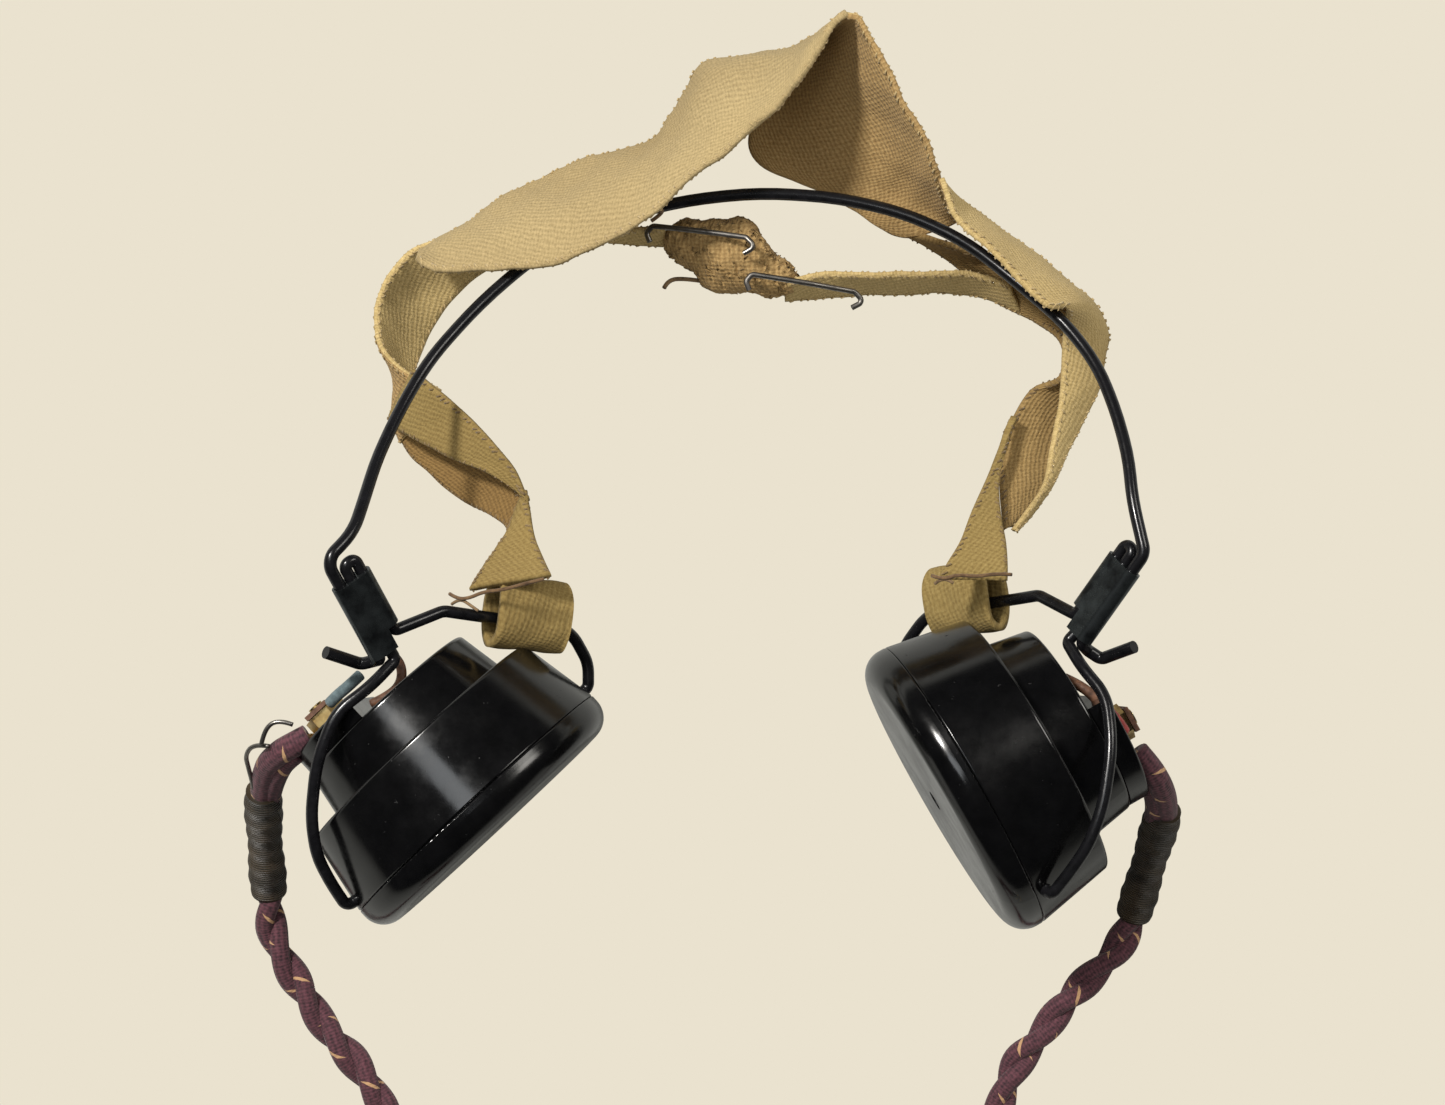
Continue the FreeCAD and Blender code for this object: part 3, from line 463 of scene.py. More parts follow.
def tube_mesh(line, radius, sides):
    """Vertices, faces and UVs (u round, v along in mm) of a round tube. radius may vary along it."""
    _, one, two = carried_frames(line)
    radius = np.broadcast_to(radius, len(line))
    marks = distances(line) / MM
    vertices, uvs, faces = [], [], []
    for i, p in enumerate(line):
        for k in range(sides):
            a = 2 * math.pi * k / sides
            vertices.append(p + radius[i] * (math.cos(a) * one[i] + math.sin(a) * two[i]))
            uvs.append((k / sides, marks[i]))
    for i in range(len(line) - 1):
        for k in range(sides):
            n = (k + 1) % sides
            faces.append((i * sides + k, i * sides + n, (i + 1) * sides + n, (i + 1) * sides + k))
    faces.append(tuple(range(sides))[::-1])
    faces.append(tuple((len(line) - 1) * sides + k for k in range(sides)))
    return vertices, faces, uvs


def join_meshes(name, parts, material):
    vertices, faces, uvs = [], [], []
    for v, f, t in parts:
        base = len(vertices)
        vertices += list(v)
        uvs += list(t)
        faces += [tuple(i + base for i in face) for face in f]
    return new_object(name, vertices, faces, material, uvs)


def route_tube(points, radius, sides):
    """A tube along the smooth route given in layout millimetres."""
    line, _ = resample(spline_points([at(p) for p in points]), ROUTE_STEP * MM)
    return tube_mesh(line, radius, sides)


def wire(name, points, diameter, material):
    """A thin wire or strand that follows a smooth route given in layout millimetres."""
    vertices, faces, uvs = route_tube(points, diameter / 2 * MM, WIRE_SIDES)
    return new_object(name, vertices, faces, material, uvs)


def twisted_pair(name, points, diameter, phase=0.0):
    """Two braided strands laid round each other along a route."""
    route = spline_points([at(p) for p in points])
    line, marks = resample(route, TWIST_STEP * MM)
    _, one, two = carried_frames(line)
    strand = diameter * STRAND_RADIUS * MM
    parts = []
    for half in (0, math.pi):
        turn = 2 * math.pi * marks / (TWIST_PITCH * MM) + half + phase
        wander = 1 + 0.10 * np.sin(marks / MM * 0.37 + half * 2)
        around = np.cos(turn)[:, None] * one + np.sin(turn)[:, None] * two
        middle = line + (strand * STRAND_OFFSET * wander)[:, None] * around
        parts.append(tube_mesh(middle, strand, 12))
    return join_meshes(name, parts, MAROON), [tuple(p) for p in route]


# ------------------------------------------------------------------ cords
LEFT_CORD = [(-89.6, -84.0, 5.2), (-89.9, -91.0, 3.6), (-87.2, -98.0, 3.3), (-82.6, -105.0, 3.3),
             (-78.4, -112.4, 3.3), (-71.6, -119.6, 3.3), (-65.6, -130.0, 3.3), (-60.0, -144.0, 3.3),
             (-52.6, -158.0, 3.3), (-42.0, -172.0, 3.3), (-29.6, -184.0, 3.3), (-17.6, -193.6, 3.3),
             (-8.0, -199.6, 4.2)]
RIGHT_CORD = [(83.4, -88.6, 5.2), (81.6, -94.6, 3.6), (76.8, -100.0, 3.3), (70.2, -106.0, 3.3),
              (64.8, -113.6, 3.3), (59.0, -120.0, 3.3), (56.0, -130.0, 3.3), (52.6, -144.0, 3.3),
              (45.8, -158.0, 3.3), (36.0, -171.6, 3.3), (25.6, -183.6, 3.3), (14.4, -193.6, 3.3),
              (4.6, -199.6, 4.2)]
TRUNK = [(-1.6, -214.0, 5.0), (-3.4, -222.0, 3.6), (-9.0, -231.0, 3.3), (-18.6, -240.0, 3.3),
         (-28.6, -251.0, 3.3)]
TRUNK_TAIL = [(-5.6, -318.0, 3.6), (7.0, -322.0, 3.6), (19.0, -323.4, 4.6), (31.0, -321.6, 6.4),
              (43.0, -318.0, 7.8)]
COIL_CENTRE, COIL_RADIUS, COIL_TURNS = (6.0, -276.0), 35.0, 4
COIL_SHIFT, COIL_LOW, COIL_LAYER = 3.2, 3.3, 6.3
WHIPPINGS = {"left": [(-88.0, -62.6, 25.0), (-89.4, -72.4, 14.2), (-89.6, -84.0, 5.2)],
             "right": [(86.8, -66.4, 24.6), (85.6, -76.6, 13.6), (83.4, -88.6, 5.2)]}


def coil_points():
    """Hand-wound turns, each a little off the last, stacked two by two."""
    points, per_turn, start = [], 12, math.radians(165)
    for i in range(COIL_TURNS * per_turn + 4):
        turn = i / per_turn
        step = int(turn)
        beside = COIL_SHIFT if step % 2 == 0 else -COIL_SHIFT
        radius = COIL_RADIUS + beside * math.cos(min(1, turn - step) * 0.6)
        climb = min(1.0, (turn - 2) * 2 if step == 2 else 1.0)
        lift = COIL_LOW + (COIL_LAYER if step >= 2 else 0.0) * climb
        off = 1.4 * math.sin(step * 2.1)
        a = start + 2 * math.pi * turn
        points.append((COIL_CENTRE[0] + off + radius * math.cos(a),
                       COIL_CENTRE[1] + radius * math.sin(a), lift))
    return points


cords = {}
for side, route, phase in (("left", LEFT_CORD, 0.6), ("right", RIGHT_CORD, 1.4)):
    cords[side] = twisted_pair("twisted_cord_" + side, route, CORD, phase=phase)
cords["trunk"] = twisted_pair("twisted_trunk", TRUNK + coil_points() + TRUNK_TAIL, CORD)


def spindle(name, centre, long, wide, high, material):
    """A wound bead: a smooth swelling that tapers to both ends, along Y."""
    rings = sides = 28
    vertices, faces, uvs = [], [], []
    for i in range(rings + 1):
        t = i / rings
        swell = math.sin(math.pi * (0.09 + 0.82 * t)) ** 0.55
        for k in range(sides):
            a = 2 * math.pi * k / sides
            vertices.append(at((centre[0] + wide * swell * math.cos(a), centre[1] + long * (t - 0.5),
                                centre[2] + high * swell * math.sin(a))))
            uvs.append((k / sides, long * t))
    for i in range(rings):
        for k in range(sides):
            n = (k + 1) % sides
            faces.append((i * sides + k, (i + 1) * sides + k, (i + 1) * sides + n, i * sides + n))
    faces += [tuple(range(sides)), tuple(rings * sides + k for k in range(sides))[::-1]]
    return new_object(name, vertices, faces, material, uvs)


bead = spindle("junction_bead", (-1.6, -203.4, 5.2), 23.0, 11.4, 4.9, WAXED)
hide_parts("cord_junction")
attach(bead, "headband")


for side in ("left", "right"):
    cord, path = cords[side]
    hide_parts(side + "_cord")
    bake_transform(cord)
trunk, path = cords["trunk"]
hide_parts("trunk_cord", "trunk_tail", "cord_coil")
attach(trunk, "headband")


def whipping(side):
    """A sleeve of waxed thread, wound where the leads meet the cord."""
    line, marks = resample(spline_points([at(p) for p in WHIPPINGS[side]]), ROUTE_STEP * MM)
    t = marks / marks[-1]
    turns, lumps = 0.12 * np.sin(marks / MM * 11.0), 0.25 * np.sin(t * 9)
    radius = (WHIPPING / 2 - 0.5 * np.abs(t - 0.5) ** 2 * 2 + turns + lumps) * MM
    vertices, faces, uvs = tube_mesh(line, radius, 24)
    return new_object("whipping_" + side, vertices, faces, WAXED, uvs)


LEADS = {
    "left": [
        [(-77.6, -51.4, 37.4), (-80.2, -52.8, 37.4), (-83.6, -54.6, 35.4), (-86.6, -57.6, 31.2),
         (-88.0, -62.4, 25.6), (-88.4, -66.0, 21.5)],
        [(-80.0, -54.0, 34.8), (-82.6, -55.8, 33.2), (-84.8, -58.6, 30.0), (-86.8, -62.6, 25.0),
         (-87.8, -66.0, 21.5)],
    ],
    "right": [
        [(79.8, -54.4, 37.6), (82.2, -57.0, 36.8), (84.8, -60.6, 33.6), (86.6, -64.6, 28.0),
         (87.2, -68.0, 22.5), (86.8, -71.0, 20)],
        [(81.2, -57.6, 33.6), (83.4, -60.6, 31.6), (85.0, -63.6, 28.4), (85.6, -67.2, 23.8),
         (85.4, -71.0, 20)],
    ],
}


for side in ("left", "right"):
    wound = whipping(side)
    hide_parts(side + "_whipping")
    tubes = [route_tube(route, LEAD_RADIUS * MM, 16) for route in LEADS[side]]
    leads = join_meshes("leads_" + side, tubes, MAROON)
    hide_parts(side + "_leads")
    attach(wound, side + "_yoke")
    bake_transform(leads)


# ------------------------------------------------------------------ straps
STATION_STEP = 1.0
STITCH_RADIUS, STITCH_GAP, STITCH_REACH, STITCH_PLAY, STITCH_MARGIN = 0.19, 1.7, 0.9, 0.25, 0.6


def catmull_rom(rows, i, t):
    """The point at t between rows i and i + 1 of a curve through all of them."""
    p0, p1, p2, p3 = rows[max(i - 1, 0)], rows[i], rows[i + 1], rows[min(i + 2, len(rows) - 1)]
    return 0.5 * (2 * p1 + (p2 - p0) * t + (2 * p0 - 5 * p1 + 4 * p2 - p3) * t ** 2
                  + (3 * p1 - p0 - 3 * p2 + p3) * t ** 3)


def smooth_stations(stations):
    """Rows about a millimetre apart, through stations that hold the same number of points across."""
    rows = np.array(stations, dtype=float)
    out = []
    for i in range(len(rows) - 1):
        gap = np.linalg.norm(rows[i + 1].mean(axis=0) - rows[i].mean(axis=0))
        pieces = max(2, int(gap / STATION_STEP))
        out += [catmull_rom(rows, i, k / pieces) for k in range(pieces)]
    out.append(rows[-1])
    return np.array(out)


def across(row, count):
    """Points spaced evenly across a row of two, three or four control points, smoothed."""
    marks = np.linspace(0, 1, count)
    if len(row) == 2:
        return np.stack([np.interp(marks, [0.0, 1.0], row[:, i]) for i in range(3)], axis=1)
    n = len(row) - 1
    out = []
    for m in marks:
        i = min(int(m * n), n - 1)
        out.append(catmull_rom(row, i, m * n - i))
    return np.array(out)


def band_faces(rows, count):
    """The faces of a closed band with two layers of points, and the material slot of each face."""
    faces, slots = [], []

    def corner(i, k, layer):
        return (layer * rows + i) * count + k

    for i in range(rows - 1):
        for k in range(count - 1):
            faces.append((corner(i, k, 0), corner(i, k + 1, 0), corner(i + 1, k + 1, 0), corner(i + 1, k, 0)))
            faces.append((corner(i, k, 1), corner(i + 1, k, 1), corner(i + 1, k + 1, 1), corner(i, k + 1, 1)))
            slots += [0, 1]
        for k in (0, count - 1):
            quad = (corner(i, k, 0), corner(i + 1, k, 0), corner(i + 1, k, 1), corner(i, k, 1))
            faces.append(quad if k == 0 else quad[::-1])
            slots.append(0)
    for i in (0, rows - 1):
        for k in range(count - 1):
            quad = (corner(i, k, 0), corner(i, k, 1), corner(i, k + 1, 1), corner(i, k + 1, 0))
            faces.append(quad if i == 0 else quad[::-1])
            slots.append(0)
    return faces, slots


def edge_stitches(line, inside, normals, half, rng):
    """Overcast stitches over one edge, given the points along it and the next ones in from it."""
    far = distances(line)
    parts, mark = [], STITCH_MARGIN
    while mark < far[-1] - STITCH_MARGIN:
        i = min(max(int(np.searchsorted(far, mark)), 1), len(line) - 2)
        p, n = line[i], normals[i]
        inward = inside[i] - p
        inward /= max(np.linalg.norm(inward), 1e-6)
        ahead = line[i + 1] - line[i - 1]
        ahead /= max(np.linalg.norm(ahead), 1e-6)
        reach = STITCH_REACH + rng.uniform(-STITCH_PLAY, STITCH_PLAY)
        shape = [p + inward * reach + n * half + ahead * 0.9,
                 p + inward * 0.35 + n * (half + 0.02) + ahead * 0.3,
                 p + inward * 0.14,
                 p + inward * 0.35 - n * (half + 0.02) - ahead * 0.3,
                 p + inward * reach - n * half - ahead * 0.7]
        parts.append(tube_mesh(np.array([at(q)[:] for q in shape]), STITCH_RADIUS * MM, 6))
        mark += STITCH_GAP + rng.uniform(-STITCH_PLAY, STITCH_PLAY)
    return parts


def webbing(name, stations, outer=OUTER, inner=INNER, thick=WEBBING, count=14, crumple=0.35,
            stitches=(True, True), seed=0, flip=False, thread=STITCH):
    """A band of webbing through rows of points, with thinner edges and overcast stitches along them."""
    rng = random.Random(seed)
    widest = max(len(row) for row in stations)
    rows = smooth_stations([across(np.array(row, dtype=float), widest) for row in stations])
    grid = np.array([across(row, count) for row in rows])
    normal = np.cross(np.gradient(grid, axis=1), np.gradient(grid, axis=0))
    normal /= np.maximum(np.linalg.norm(normal, axis=2), 1e-9)[:, :, None]
    if flip:
        normal = -normal
    marks = distances(grid.mean(axis=1))
    wide = np.linalg.norm(np.diff(grid, axis=1), axis=2).sum(axis=1)
    phases = [rng.uniform(0, 6.28) for _ in range(6)]
    u = np.linspace(0, 1, count)[None, :] * wide[:, None]
    v = marks[:, None] + 0 * u
    ripple = (np.sin(v * 0.31 + u * 0.22 + phases[0]) + 0.6 * np.sin(v * 0.53 - u * 0.41 + phases[1])
              + 0.4 * np.sin(v * 0.9 + u * 0.7 + phases[2])) * crumple * 0.5
    grid = grid + normal * ripple[:, :, None]
    edge = np.minimum(np.linspace(0, 1, count), np.linspace(1, 0, count)) * (count - 1)
    half = thick / 2 * np.where(edge < 0.5, 0.55, 1.0)
    layers = (grid + normal * half[None, :, None], grid - normal * half[None, :, None])
    cells = [(i, k) for i in range(len(grid)) for k in range(count)]
    vertices = [at(layer[i, k]) for layer in layers for i, k in cells]
    uvs = [(u[i, k], v[i, k]) for _ in layers for i, k in cells]
    faces, slots = band_faces(len(grid), count)
    pieces = [new_object(name, vertices, faces, outer, uvs, inner, slots)]
    parts = []
    for stitched, k, inside in ((stitches[0], 0, 1), (stitches[1], count - 1, count - 2)):
        if stitched:
            parts += edge_stitches(grid[:, k], grid[:, inside], normal[:, k], thick / 2, rng)
    if parts:
        pieces.append(join_meshes(name + "_stitches", parts, thread))
    return pieces


def settle(pieces, node, body=None, blend=None):
    """Puts pieces in the place of a CAD node, riding a body, or with their transform baked into the mesh when
    blend is given.
    """
    for i, piece in enumerate(pieces):
        if node and i == 0:
            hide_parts(node)
        if blend:
            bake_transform(piece)
        else:
            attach(piece, body)


# rows of points across each band, in layout millimetres, from one end to the other
STRAP_LEFT = [
    ((-54.2, 15.4, 17), (-58.8, 10.6, 10), (-63.2, 5.6, 3)),
    ((-61.8, 19.6, 13.5), (-63.4, 15.4, 8), (-65.0, 10.8, 3)),
    ((-66.2, 24.4, 13), (-64.0, 20.4, 6), (-62.4, 16.2, 2)),
    ((-67.6, 30.6, 13), (-63.8, 27.4, 7), (-59.4, 24.0, 2)),
    ((-65.4, 37.6, 13), (-60.4, 35.0, 6), (-54.8, 32.6, 2)),
    ((-60.0, 43.6, 12), (-54.8, 41.6, 6), (-49.6, 38.0, 2)),
    ((-55.4, 45.8, 10), (-50.6, 43.6, 5), (-45.0, 41.2, 2)),
]
RIGHT_OUTER = [
    ((43.4, 56.2, 24.5), (43.9, 54.7, 22)),
    ((46.7, 48.1, 25), (50.0, 50.1, 16), (54.8, 48.9, 8)),
    ((52.3, 42.6, 27), (57.6, 44.0, 17), (63.3, 43.3, 5)),
    ((57.4, 37.1, 29), (63.8, 38.5, 18), (70.8, 37.4, 4)),
    ((63.3, 30.9, 31), (69.6, 34.3, 19), (75.8, 32.8, 4)),
    ((67.6, 30.8, 27), (73.0, 30.9, 17), (77.9, 27.1, 6)),
    ((68.1, 26.6, 18), (72.4, 25.6, 14), (76.9, 21.5, 8)),
    ((67.8, 17.4, 16), (71.5, 17.5, 14), (75.6, 15.9, 10)),
    ((66.8, 10.1, 17), (69.1, 9.3, 15), (71.5, 7.6, 12)),
    ((65.1, 2.8, 20), (66.4, 2.4, 19), (67.9, 1.4, 17)),
    ((63.6, -2.8, 23), (64.4, -2.9, 22.5), (65.3, -3.0, 21)),
    ((60.4, -7.6, 26), (60.9, -7.8, 25.6), (61.6, -8.0, 24)),
    ((57.2, -12.0, 27.6), (57.5, -12.2, 27.4), (57.9, -12.4, 27)),
]
RIGHT_INNER = [
    ((36.8, 48.3, 1), (44.7, 45.3, 8)),
    ((47.0, 42.1, 1), (58.2, 41.4, 5)),
    ((53.9, 35.2, 1.5), (64.2, 35.4, 5)),
    ((63.5, 29.9, 3), (71.5, 31.2, 6)),
    ((68.4, 25.2, 9), (74.1, 26.1, 7)),
    ((67.8, 18.4, 13), (72.5, 18.7, 9)),
    ((62.2, 15.8, 12), (70.7, 14.1, 9)),
    ((57.9, 9.1, 14), (68.8, 9.0, 10)),
    ((55.5, 2.0, 16), (67.4, 3.0, 12)),
    ((55.4, -4.4, 19), (64.9, -2.2, 15)),
    ((55.6, -9.1, 22), (62.7, -6.3, 17)),
    ((55.7, -12.1, 25), (57.6, -10.9, 22)),
]
RIGHT_LOWER = [
    ((58.3, 10.4, 17), (58.6, 10.1, 16)),
    ((55.7, 4.6, 20), (56.6, 4.4, 19)),
    ((52.6, -1.8, 23), (54.9, -1.8, 22)),
    ((49.4, -8.1, 27), (54.9, -8.5, 26)),
    ((46.7, -14.3, 31), (55.6, -15.0, 30)),
    ((43.5, -19.3, 34), (55.7, -19.5, 33)),
    ((42.4, -21.4, 34), (55.6, -21.8, 33.5)),
]
LEFT_UPPER = [
    ((-59.6, 19.6, 17), (-65.3, 10.2, 6)),
    ((-56.9, 17.3, 18), (-63.7, 8.2, 10)),
    ((-50.2, 11.7, 22), (-56.9, 4.6, 16)),
    ((-44.0, 5.6, 26), (-50.5, 1.4, 21)),
    ((-39.1, -0.2, 28), (-44.8, -0.8, 25.5)),
    ((-36.4, -6.6, 28.5), (-37.6, -4.9, 28)),
]
LEFT_INNER = [
    ((-57.6, 12.1, 8), (-64.7, 8.4, 2)),
    ((-52.0, 6.0, 11), (-61.3, 2.9, 5)),
    ((-47.1, 3.2, 14), (-57.6, -0.2, 8)),
    ((-42.9, 0.5, 18), (-53.6, -3.8, 11)),
    ((-39.5, -2.2, 21), (-49.0, -6.9, 15)),
    ((-38.1, -4.9, 23), (-44.9, -8.8, 19)),
    ((-37.4, -7.5, 25), (-41.3, -11.1, 23)),
    ((-37.0, -10.2, 27), (-40.2, -12.9, 27)),
]
LEFT_LOWER = [
    ((-36.9, -4.3, 28), (-38.7, -8.2, 26)),
    ((-36.1, -8.2, 29), (-40.0, -12.2, 28)),
    ((-35.1, -12.8, 31), (-41.7, -14.7, 30)),
    ((-33.5, -16.7, 34), (-44.4, -18.7, 34)),
    ((-31.4, -20.6, 38.6), (-46.9, -23.4, 38.6)),
]
STRAP_TOP = [
    ((-58.4, 41.0, 22.5), (-58.6, 42.6, 18), (-58.2, 43.4, 13), (-57.8, 44.0, 8)),
    ((-54.7, 38.6, 25), (-55.4, 42.6, 18), (-56.0, 44.6, 12), (-55.6, 45.6, 5)),
    ((-41.9, 38.2, 27.5), (-42.5, 46.0, 19), (-43.2, 51.2, 10), (-43.5, 54.0, 4)),
    ((-30.3, 39.6, 28.5), (-30.8, 49.4, 19.5), (-31.2, 56.0, 9), (-31.6, 60.5, 2)),
    ((-20.6, 43.8, 28.5), (-21.0, 53.4, 20), (-21.3, 59.6, 10), (-21.5, 64.0, 1.5)),
    ((-12.5, 49.0, 28.5), (-12.7, 57.0, 20), (-12.9, 62.6, 11), (-13.1, 66.4, 1.5)),
    ((-4.4, 56.0, 29), (-5.0, 62.0, 24), (-7.4, 67.6, 12), (-9.4, 70.6, 1.5)),
    ((1.4, 60.2, 29.6), (0.4, 66.0, 26), (-3.0, 74.4, 14), (-6.4, 76.6, 1.5)),
    ((6.6, 64.8, 30), (5.6, 68.6, 27), (1.4, 79.0, 14), (-2.4, 81.6, 1.5)),
    ((12.2, 69.5, 30), (11.4, 72.6, 27), (9.0, 80.6, 14), (7.4, 83.2, 1.5)),
    ((17.6, 77.3, 29), (17.0, 79.4, 26), (16.4, 82.6, 14), (15.8, 85.4, 2)),
    ((22.3, 84.9, 27.5), (22.2, 86.0, 24), (21.6, 87.0, 14), (21.0, 88.0, 3)),
    ((25.4, 87.8, 26.5), (25.2, 88.6, 22), (24.8, 89.2, 13), (24.4, 89.6, 4)),
]
STRAP_BACK = [
    ((23.6, 87.6, 26.5), (23.4, 87.9, 22), (23.2, 88.2, 13), (23.0, 88.4, 4)),
    ((27.2, 87.2, 26.5), (25.6, 87.3, 20), (23.4, 86.4, 11), (21.4, 86.6, 3)),
    ((30.0, 82.4, 27), (26.6, 82.0, 16), (21.6, 81.4, 7), (16.6, 81.2, 1.5)),
    ((33.6, 76.0, 27), (28.0, 75.6, 13), (19.6, 75.0, 5), (11.6, 74.6, 1)),
    ((37.4, 69.2, 26), (31.0, 68.8, 11), (18.0, 67.6, 3), (6.4, 67.8, 1)),
    ((40.8, 62.8, 25), (34.6, 62.4, 9), (20.0, 60.4, 2.5), (8.6, 61.6, 1)),
    ((43.2, 57.2, 22), (38.6, 57.0, 8), (28.6, 55.2, 2.5), (19.4, 57.0, 1)),
    ((45.6, 52.6, 15), (42.2, 52.0, 7), (34.0, 50.8, 2.5), (28.0, 52.7, 1)),
    ((48.4, 49.6, 9), (45.0, 48.4, 6), (38.6, 47.0, 2.5), (34.0, 49.0, 1)),
]
CROSS_LEFT = [
    ((-23.0, 47.6, 9), (-21.6, 45.6, 5)),
    ((-17.2, 48.0, 9.5), (-16.4, 45.4, 4)),
    ((-10.5, 48.2, 9.5), (-9.5, 45.2, 3)),
]
CROSS_RIGHT = [
    ((14.0, 36.9, 9.5), (13.6, 34.4, 2.4)),
    ((20.1, 39.2, 9.5), (21.0, 34.8, 2)),
    ((32.5, 38.9, 10), (33.2, 35.6, 2)),
    ((45.6, 39.4, 10), (46.0, 35.8, 2)),
    ((53.0, 38.6, 9), (54.6, 34.6, 2)),
    ((58.2, 37.0, 8), (61.6, 31.6, 2)),
]

LEFT_BEND = ("headband", "left_yoke", (-58, 10, 14), (-37, -17, 38))
RIGHT_BEND = ("headband", "right_yoke", (66, 8, 12), (50, -15, 31))


def folded(name, rows, look, seed, bend, flip=False):
    """A band beside a fold: one look on both faces, with darker stitches that are painted shade."""
    settle(webbing(name, rows, outer=look, inner=look, seed=seed, crumple=0.2, flip=flip, thread=SHADE_STITCH),
           None, blend=bend)


settle(webbing("strap_left_band", STRAP_LEFT, seed=1), "strap_left", blend=LEFT_BEND)
# The flap, the folds and the ends take darker webbing copies and darker stitches: painted shade.
folded("strap_left_flap", LEFT_UPPER, SHADE_WEBBING, 11, LEFT_BEND, flip=True)
folded("strap_left_fold", LEFT_INNER, DIM, 12, LEFT_BEND, flip=True)
folded("strap_left_end", LEFT_LOWER, SHADE_WEBBING, 13, LEFT_BEND, flip=True)
settle(webbing("strap_top_band", STRAP_TOP, outer=FADED, inner=FADED, seed=2, count=22, crumple=0.45),
       "strap_top", body="headband")
settle(webbing("strap_back_band", STRAP_BACK, outer=INNER, inner=OUTER, seed=3, count=22, crumple=0.5,
               stitches=(True, False)), "strap_back", body="headband")
settle(webbing("strap_right_band", RIGHT_OUTER, seed=4, crumple=0.2, flip=True),
       "strap_right", blend=RIGHT_BEND)
folded("strap_right_fold", RIGHT_INNER, SHADED, 14, RIGHT_BEND)
folded("strap_right_end", RIGHT_LOWER, SHADE_WEBBING, 15, RIGHT_BEND)
settle(webbing("cross_left_band", CROSS_LEFT, seed=5, count=8, crumple=0.2, thick=1.2),
       "cross_strap_left", body="headband")
settle(webbing("cross_right_band", CROSS_RIGHT, seed=6, count=8, crumple=0.3, thick=1.2),
       "cross_strap_right", body="headband")


LOOP_HALF_LENGTH, LOOP_RINGS, LOOP_SIDES = 7.9, 14, 40
LOOP_FACES = ((6.9, 3.6), (5.5, 2.4))       # half height and half depth of the outer and the inner face


def sewn_loop(side):
    """A plain webbing ring round the yoke's bar, in the place of the strap's sewn end."""
    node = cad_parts[side + "_strap_loop"]
    points = np.array([v.co[:] for v in node.data.vertices])
    centre = points.mean(axis=0)
    _, _, axes = np.linalg.svd(points - centre, full_matrices=False)
    bar = axes[np.argsort([np.ptp((points - centre) @ a) for a in axes])[-1]]
    up = np.array((0.0, 0.0, 1.0)) - bar * bar[2]
    up /= np.linalg.norm(up)
    flat = np.cross(bar, up)
    if flat[1] < 0:
        flat = -flat
    rows, uvs, faces = [], [], []
    for tall, deep in LOOP_FACES:
        for i in range(LOOP_RINGS + 1):
            s = -LOOP_HALF_LENGTH + 2 * LOOP_HALF_LENGTH * i / LOOP_RINGS
            for k in range(LOOP_SIDES):
                a = 2 * math.pi * k / LOOP_SIDES
                c = math.copysign(abs(math.cos(a)) ** 0.75, math.cos(a))
                wave = 0.18 * math.sin(3 * a + i * 0.7)
                rise = (deep + wave) * math.sin(a) + 0.4
                rows.append(centre + MM * (bar * s + flat * (tall * c + wave + 0.6) + up * rise))
                uvs.append((s, a * 5.2))
    size = (LOOP_RINGS + 1) * LOOP_SIDES
    for i in range(LOOP_RINGS):
        for k in range(LOOP_SIDES):
            n, ring, after = (k + 1) % LOOP_SIDES, i * LOOP_SIDES, (i + 1) * LOOP_SIDES
            quad = (ring + k, after + k, after + n, ring + n)
            faces += [quad, tuple(size + q for q in quad[::-1])]
    for i in (0, LOOP_RINGS):
        for k in range(LOOP_SIDES):
            near, far = i * LOOP_SIDES + k, i * LOOP_SIDES + (k + 1) % LOOP_SIDES
            faces.append((near, far, size + far, size + near))
    # The loop takes the darker webbing copy, which is painted shade.
    loop = new_object("ear_loop_" + side, rows, faces, SHADE_WEBBING, uvs)
    settle([loop], side + "_strap_loop", body=side + "_yoke")


for side in ("left", "right"):
    sewn_loop(side)


# centre and radius of each lump, in layout millimetres
LUMPS = [(-6.4, 45.6, 6.4, 6.2), (-1.6, 44.6, 7.6, 7.6), (3.4, 42.6, 8.2, 7.8), (4.6, 46.4, 8.0, 5.6),
         (8.0, 40.0, 7.2, 7.0), (12.4, 38.4, 6.2, 5.4), (1.0, 39.6, 5.6, 6.2)]
LUMP_REACH, BUNDLE_RESOLUTION, BUNDLE_LOWEST = 1.2, 0.45, 0.6


def bundle():
    """Gathered webbing, as a few lumps that merge, with shallow folds."""
    blob = bpy.data.metaballs.new("gather")
    blob.resolution = blob.render_resolution = BUNDLE_RESOLUTION
    holder = bpy.data.objects.new("gather", blob)
    scene.collection.objects.link(holder)
    for x, y, z, r in LUMPS:
        ball = blob.elements.new()
        ball.co, ball.radius = (x, y, z), r * LUMP_REACH
    graph = bpy.context.evaluated_depsgraph_get()
    graph.update()
    mesh = bpy.data.meshes.new_from_object(holder.evaluated_get(graph))
    bpy.data.objects.remove(holder)
    mesh.name = "strap_bundle_folds"
    mesh.materials.clear()
    mesh.materials.append(INNER)
    for v in mesh.vertices:
        p = v.co.copy()
        fold = 0.42 * math.sin(p[0] * 1.1 + p[1] * 0.8) + 0.25 * math.sin(p[0] * 0.6 - p[1] * 1.4 + p[2])
        v.co = v.co + v.normal * fold
        v.co.z = max(v.co.z, BUNDLE_LOWEST)
        v.co = at(v.co)
    layer = mesh.uv_layers.new(name="mm")
    for loop in mesh.loops:
        c = mesh.vertices[loop.vertex_index].co
        layer.data[loop.index].uv = (c.x / MM + c.z / MM * 0.5, c.y / MM + c.z / MM * 0.3)
    for polygon in mesh.polygons:
        polygon.use_smooth = True
    obj = bpy.data.objects.new("strap_bundle_folds", mesh)
    scene.collection.objects.link(obj)
    return obj


settle([bundle()], "strap_bundle", body="headband")


def strand(name, points, diameter, material, body, slot="webbing"):
    piece = wire(name, points, diameter, material)
    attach(piece, body)


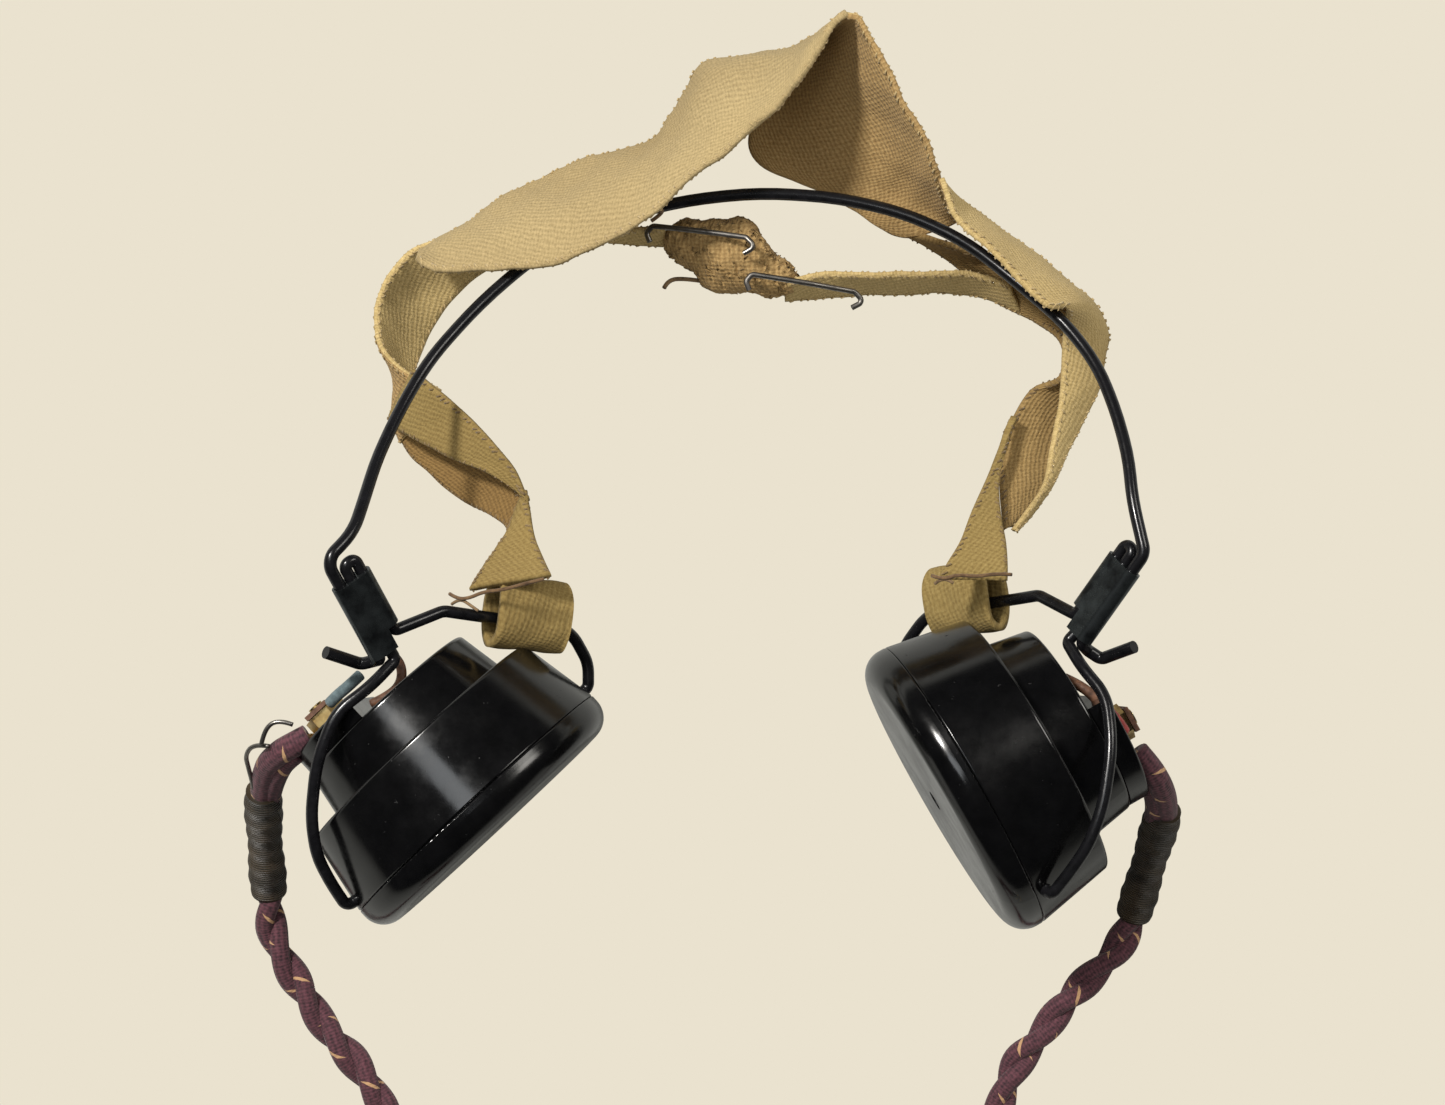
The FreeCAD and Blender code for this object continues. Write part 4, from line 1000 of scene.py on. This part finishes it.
# stray threads, small leads and the two wire hooks beside the left terminals
strand("thread_wire_knot", [(-13.6, 49.6, 21), (-12.0, 50.6, 22.6), (-10.4, 50.4, 21), (-11.4, 49.4, 19.6),
                            (-12.8, 48.4, 20)],
       0.8, SEAM, "headband")
strand("thread_tail", [(-10.6, 36.6, 4), (-9.8, 38.2, 5), (-6.4, 38.4, 5.5), (-2.8, 37.8, 6)],
       0.9, LOOSE, "headband")
strand("loop_thread_left_a", [(-50.6, -24.2, 39.5), (-49.0, -25.2, 41), (-46.6, -25.0, 42.2),
                              (-44.0, -23.8, 42.6), (-40.0, -23.4, 42.6), (-36.0, -22.2, 42.2),
                              (-32.6, -21.4, 41.6)],
       0.7, SEAM, "left_yoke")
strand("loop_thread_left_b", [(-50.2, -26.2, 39.5), (-48.6, -25.0, 40.8), (-46.4, -26.4, 41.6),
                              (-45.0, -27.4, 41.8)],
       0.6, LOOSE, "left_yoke")
strand("loop_thread_right_a", [(41.0, -20.8, 35), (43.0, -21.6, 36.4), (45.6, -20.6, 37),
                               (49.4, -21.0, 37.6), (53.2, -20.4, 37), (56.2, -20.6, 36)],
       0.7, SEAM, "right_yoke")
strand("loop_thread_right_b", [(41.6, -22.4, 35), (43.2, -20.8, 36), (45.0, -22.2, 36.6)],
       0.6, LOOSE, "right_yoke")
strand("teal_lead", [(-73.4, -45.0, 38.8), (-71.8, -43.4, 40.0), (-69.8, -41.8, 40.0),
                     (-67.6, -39.6, 38.4)],
       2.2, TEAL, "left_receiver", "whipping_thread")
strand("leather_thong_left", [(-63.0, -35.2, 34), (-60.4, -36.6, 36.4), (-59.6, -40.4, 37.6),
                              (-61.6, -43.4, 38), (-65.6, -45.2, 37)],
       1.9, LEATHER, "left_receiver", "brown_leather")
strand("red_lead", [(72.4, -45.2, 37.4), (73.8, -46.0, 39.8), (75.8, -48.2, 40.0), (77.4, -50.4, 38.4)],
       2.2, RED, "right_receiver", "whipping_thread")
strand("leather_thong_right", [(66.4, -40.4, 34.6), (68.6, -41.4, 37.4), (71.6, -43.6, 38.4),
                               (74.0, -46.6, 38)],
       2.0, LEATHER, "right_receiver", "brown_leather")

HOOK_WIRE = 0.9
hooks = [
    wire("cord_hook_ring", [(-86.4, -52.8, 38.4), (-85.6, -49.6, 39.6), (-82.8, -48.0, 40.2),
                            (-80.2, -49.0, 40)], HOOK_WIRE, NICKEL),
    wire("cord_hook_eye", [(-85.0, -53.2, 38), (-88.0, -52.8, 36.4), (-90.2, -55.0, 34), (-89.8, -58.2, 31),
                           (-89.4, -61.8, 28)], HOOK_WIRE, NICKEL)]
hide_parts("left_cord_hook")
for hook in hooks:
    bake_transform(hook)
